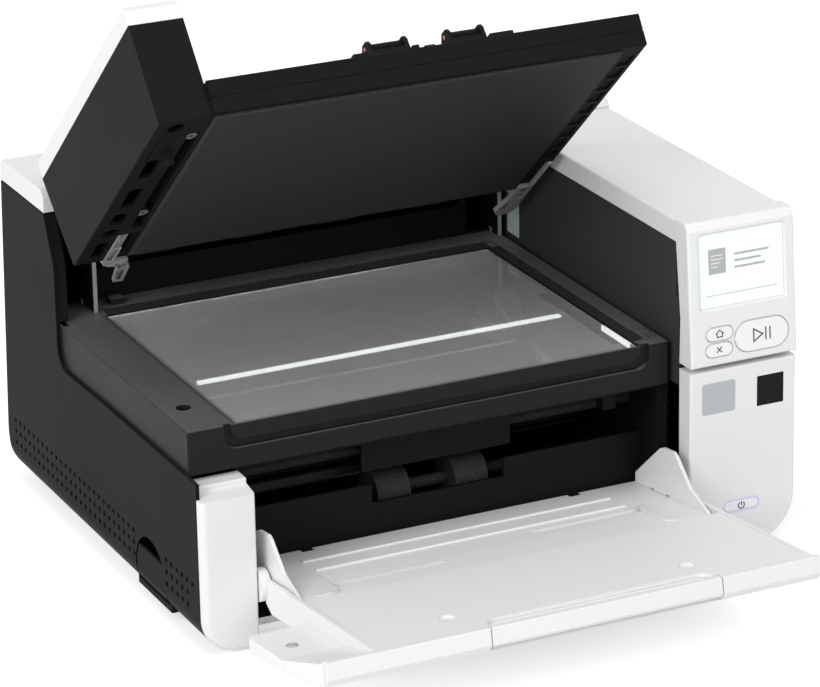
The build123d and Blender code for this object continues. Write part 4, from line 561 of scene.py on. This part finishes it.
# dark gap and step beside the glass, and the pale lip along its left-hand edge
glassTrims = {
    "glassGapRight": {"path": ((110.8, -64.4), (110.8, 157.8)), "width": 1.5, "finish": "markDark"},
    "glassGapRear": {"path": ((-178.4, 157.3), (111.5, 157.3)), "width": 1.5, "finish": "markDark"},
    "bedStepRight": {"path": ((115.5, -55), (115.5, 158.1)), "width": 7.8, "finish": "stepShade"},
    "bedStepRear": {"path": ((-177, 163.9), (114, 163.9)), "width": 11.5, "finish": "stepShade"},
    "glassLip": {"path": ((-180.1, -64.8), (-180.1, 156)), "width": 2.8, "finish": "edgeTrim",
                 "thick": 0.06},
}
for name, trim in glassTrims.items():
    ribbon(name, trim["path"], trim["width"], trim.get("thick", 0.04), stepFrame, trim["finish"], "base")

# moulded rings between the slots of the lid's arm
ringMarks = {"radius": 2.1, "line": 0.35, "turn": (0, 345), "places": ((-211.5, 20), (-211.5, 62),
             (-211.5, 92), (-194.2, 22), (-194.2, 64), (-194.4, 91), (-211.5, 108), (-211.5, 142))}
for i, (x, y) in enumerate(ringMarks["places"]):
    ribbon(f"armRing{i}", arc((x, -y), ringMarks["radius"], *ringMarks["turn"]), ringMarks["line"],
           markThick, lidUnder, "blackShell", "lid", closed=True)

# cross recesses of the two cover screws, each cross a little turned, drawn as dark crosses: painted shade in
# the recesses
screwMarks = {"places": ((-187.4, 75), (-186.4, -40.5)), "reach": 2.2, "line": 0.7, "drop": -0.52}
screwTop = raisedOn(lidUnder, screwMarks["drop"])
for i, (x, y) in enumerate(screwMarks["places"]):
    for label, way in (("A", (1, 0.25)), ("B", (-0.25, 1))):
        ends = np.array(way) * screwMarks["reach"] * ((-1,), (1,)) + (x, -y)
        ribbon(f"screwRecessShade{i}{label}", ends, screwMarks["line"], markThick, screwTop, "markDark", "lid")
print("marks and fittings made")


# Stage, light and camera, with lengths in metres.
stage = {"half": 6.0, "height": -0.0002, "corners": ((-1, -1), (1, -1), (1, 1), (-1, 1)),
         "colour": (0.9, 0.9, 0.9, 1), "glow": 0.48}
sky = {"lighting": 0.42, "seen": 1.0}


def backgroundRays(tree):
    # 1 for rays from the camera and rays seen in gloss or through glass, 0 for all others
    path = put(tree, "ShaderNodeLightPath")
    bounced = sums(tree, "MAXIMUM", path.outputs["Is Glossy Ray"], path.outputs["Is Transmission Ray"])
    return sums(tree, "MAXIMUM", path.outputs["Is Camera Ray"], bounced)


def stageMaterial():
    # white to the camera, an ordinary pale matt surface to the light
    material = bpy.data.materials.new("paleFloor")
    material.use_nodes = True
    tree = material.node_tree
    tree.nodes.clear()
    matt = put(tree, "ShaderNodeBsdfDiffuse", {"Color": stage["colour"]})
    lit = put(tree, "ShaderNodeEmission", {"Color": (1, 1, 1, 1), "Strength": stage["glow"]})
    both = put(tree, "ShaderNodeAddShader", {0: matt.outputs[0], 1: lit.outputs[0]})
    mix = put(tree, "ShaderNodeMixShader", {0: backgroundRays(tree), 1: matt.outputs[0], 2: both.outputs[0]})
    put(tree, "ShaderNodeOutputMaterial", {"Surface": mix.outputs[0]})
    return material


mesh = bpy.data.meshes.new("floor")
mesh.from_pydata([(x * stage["half"], y * stage["half"], stage["height"]) for x, y in stage["corners"]], [],
                 [(0, 1, 2, 3)])
mesh.materials.append(stageMaterial())
floor = bpy.data.objects.new("floor", mesh)
bpy.context.scene.collection.objects.link(floor)

world = bpy.data.worlds.new("studio")
bpy.context.scene.world = world
world.use_nodes = True
tree = world.node_tree
tree.nodes.clear()
strength = put(tree, "ShaderNodeMapRange", {0: backgroundRays(tree), 1: 0.0, 2: 1.0, 3: sky["lighting"],
                                            4: sky["seen"]})
white = put(tree, "ShaderNodeBackground", {"Color": (1, 1, 1, 1), "Strength": strength.outputs[0]})
put(tree, "ShaderNodeOutputWorld", {"Surface": white.outputs[0]})

lamps = {
    "keyLight": {"place": (-2.6, -1.4, 1.7), "size": 2.0, "power": 64},
    "frontLight": {"place": (0.9, -2.6, 2.1), "size": 2.0, "power": 27},
    "topLight": {"place": (-0.1, -0.2, 3.0), "size": 2.2, "power": 25},
}
lampTarget = Vector((0, 0, 0.15))
for name, lamp in lamps.items():
    light = bpy.data.lights.new(name, "AREA")
    light.size, light.energy = lamp["size"], lamp["power"]
    holder = bpy.data.objects.new(name, light)
    holder.location = lamp["place"]
    holder.rotation_euler = (lampTarget - Vector(lamp["place"])).to_track_quat("-Z", "Y").to_euler()
    bpy.context.scene.collection.objects.link(holder)

view = {"place": (-1.10994, -2.29810, 1.11427), "yaw": 25.145, "pitch": -19.805, "roll": -1.139,
        "lens": 180.54, "sensor": 36, "shift": (0.0112, -0.0820), "clip": (0.1, 30)}
yaw, pitch, roll = (math.radians(view[k]) for k in ("yaw", "pitch", "roll"))
ahead = Vector((math.sin(yaw) * math.cos(pitch), math.cos(yaw) * math.cos(pitch), math.sin(pitch)))
level = Vector((math.cos(yaw), -math.sin(yaw), 0))
upright = level.cross(ahead)
right = level * math.cos(roll) + upright * math.sin(roll)
up = upright * math.cos(roll) - level * math.sin(roll)
cameraData = bpy.data.cameras.new("camera")
cameraData.lens, cameraData.sensor_width = view["lens"], view["sensor"]
cameraData.shift_x, cameraData.shift_y = view["shift"]
cameraData.clip_start, cameraData.clip_end = view["clip"]
camera = bpy.data.objects.new("camera", cameraData)
camera.matrix_world = Matrix((right, up, -ahead)).transposed().to_4x4()
camera.location = view["place"]
bpy.context.scene.collection.objects.link(camera)
bpy.context.scene.camera = camera
bpy.context.scene.view_settings.view_transform = "Standard"
print("stage, light and camera set")
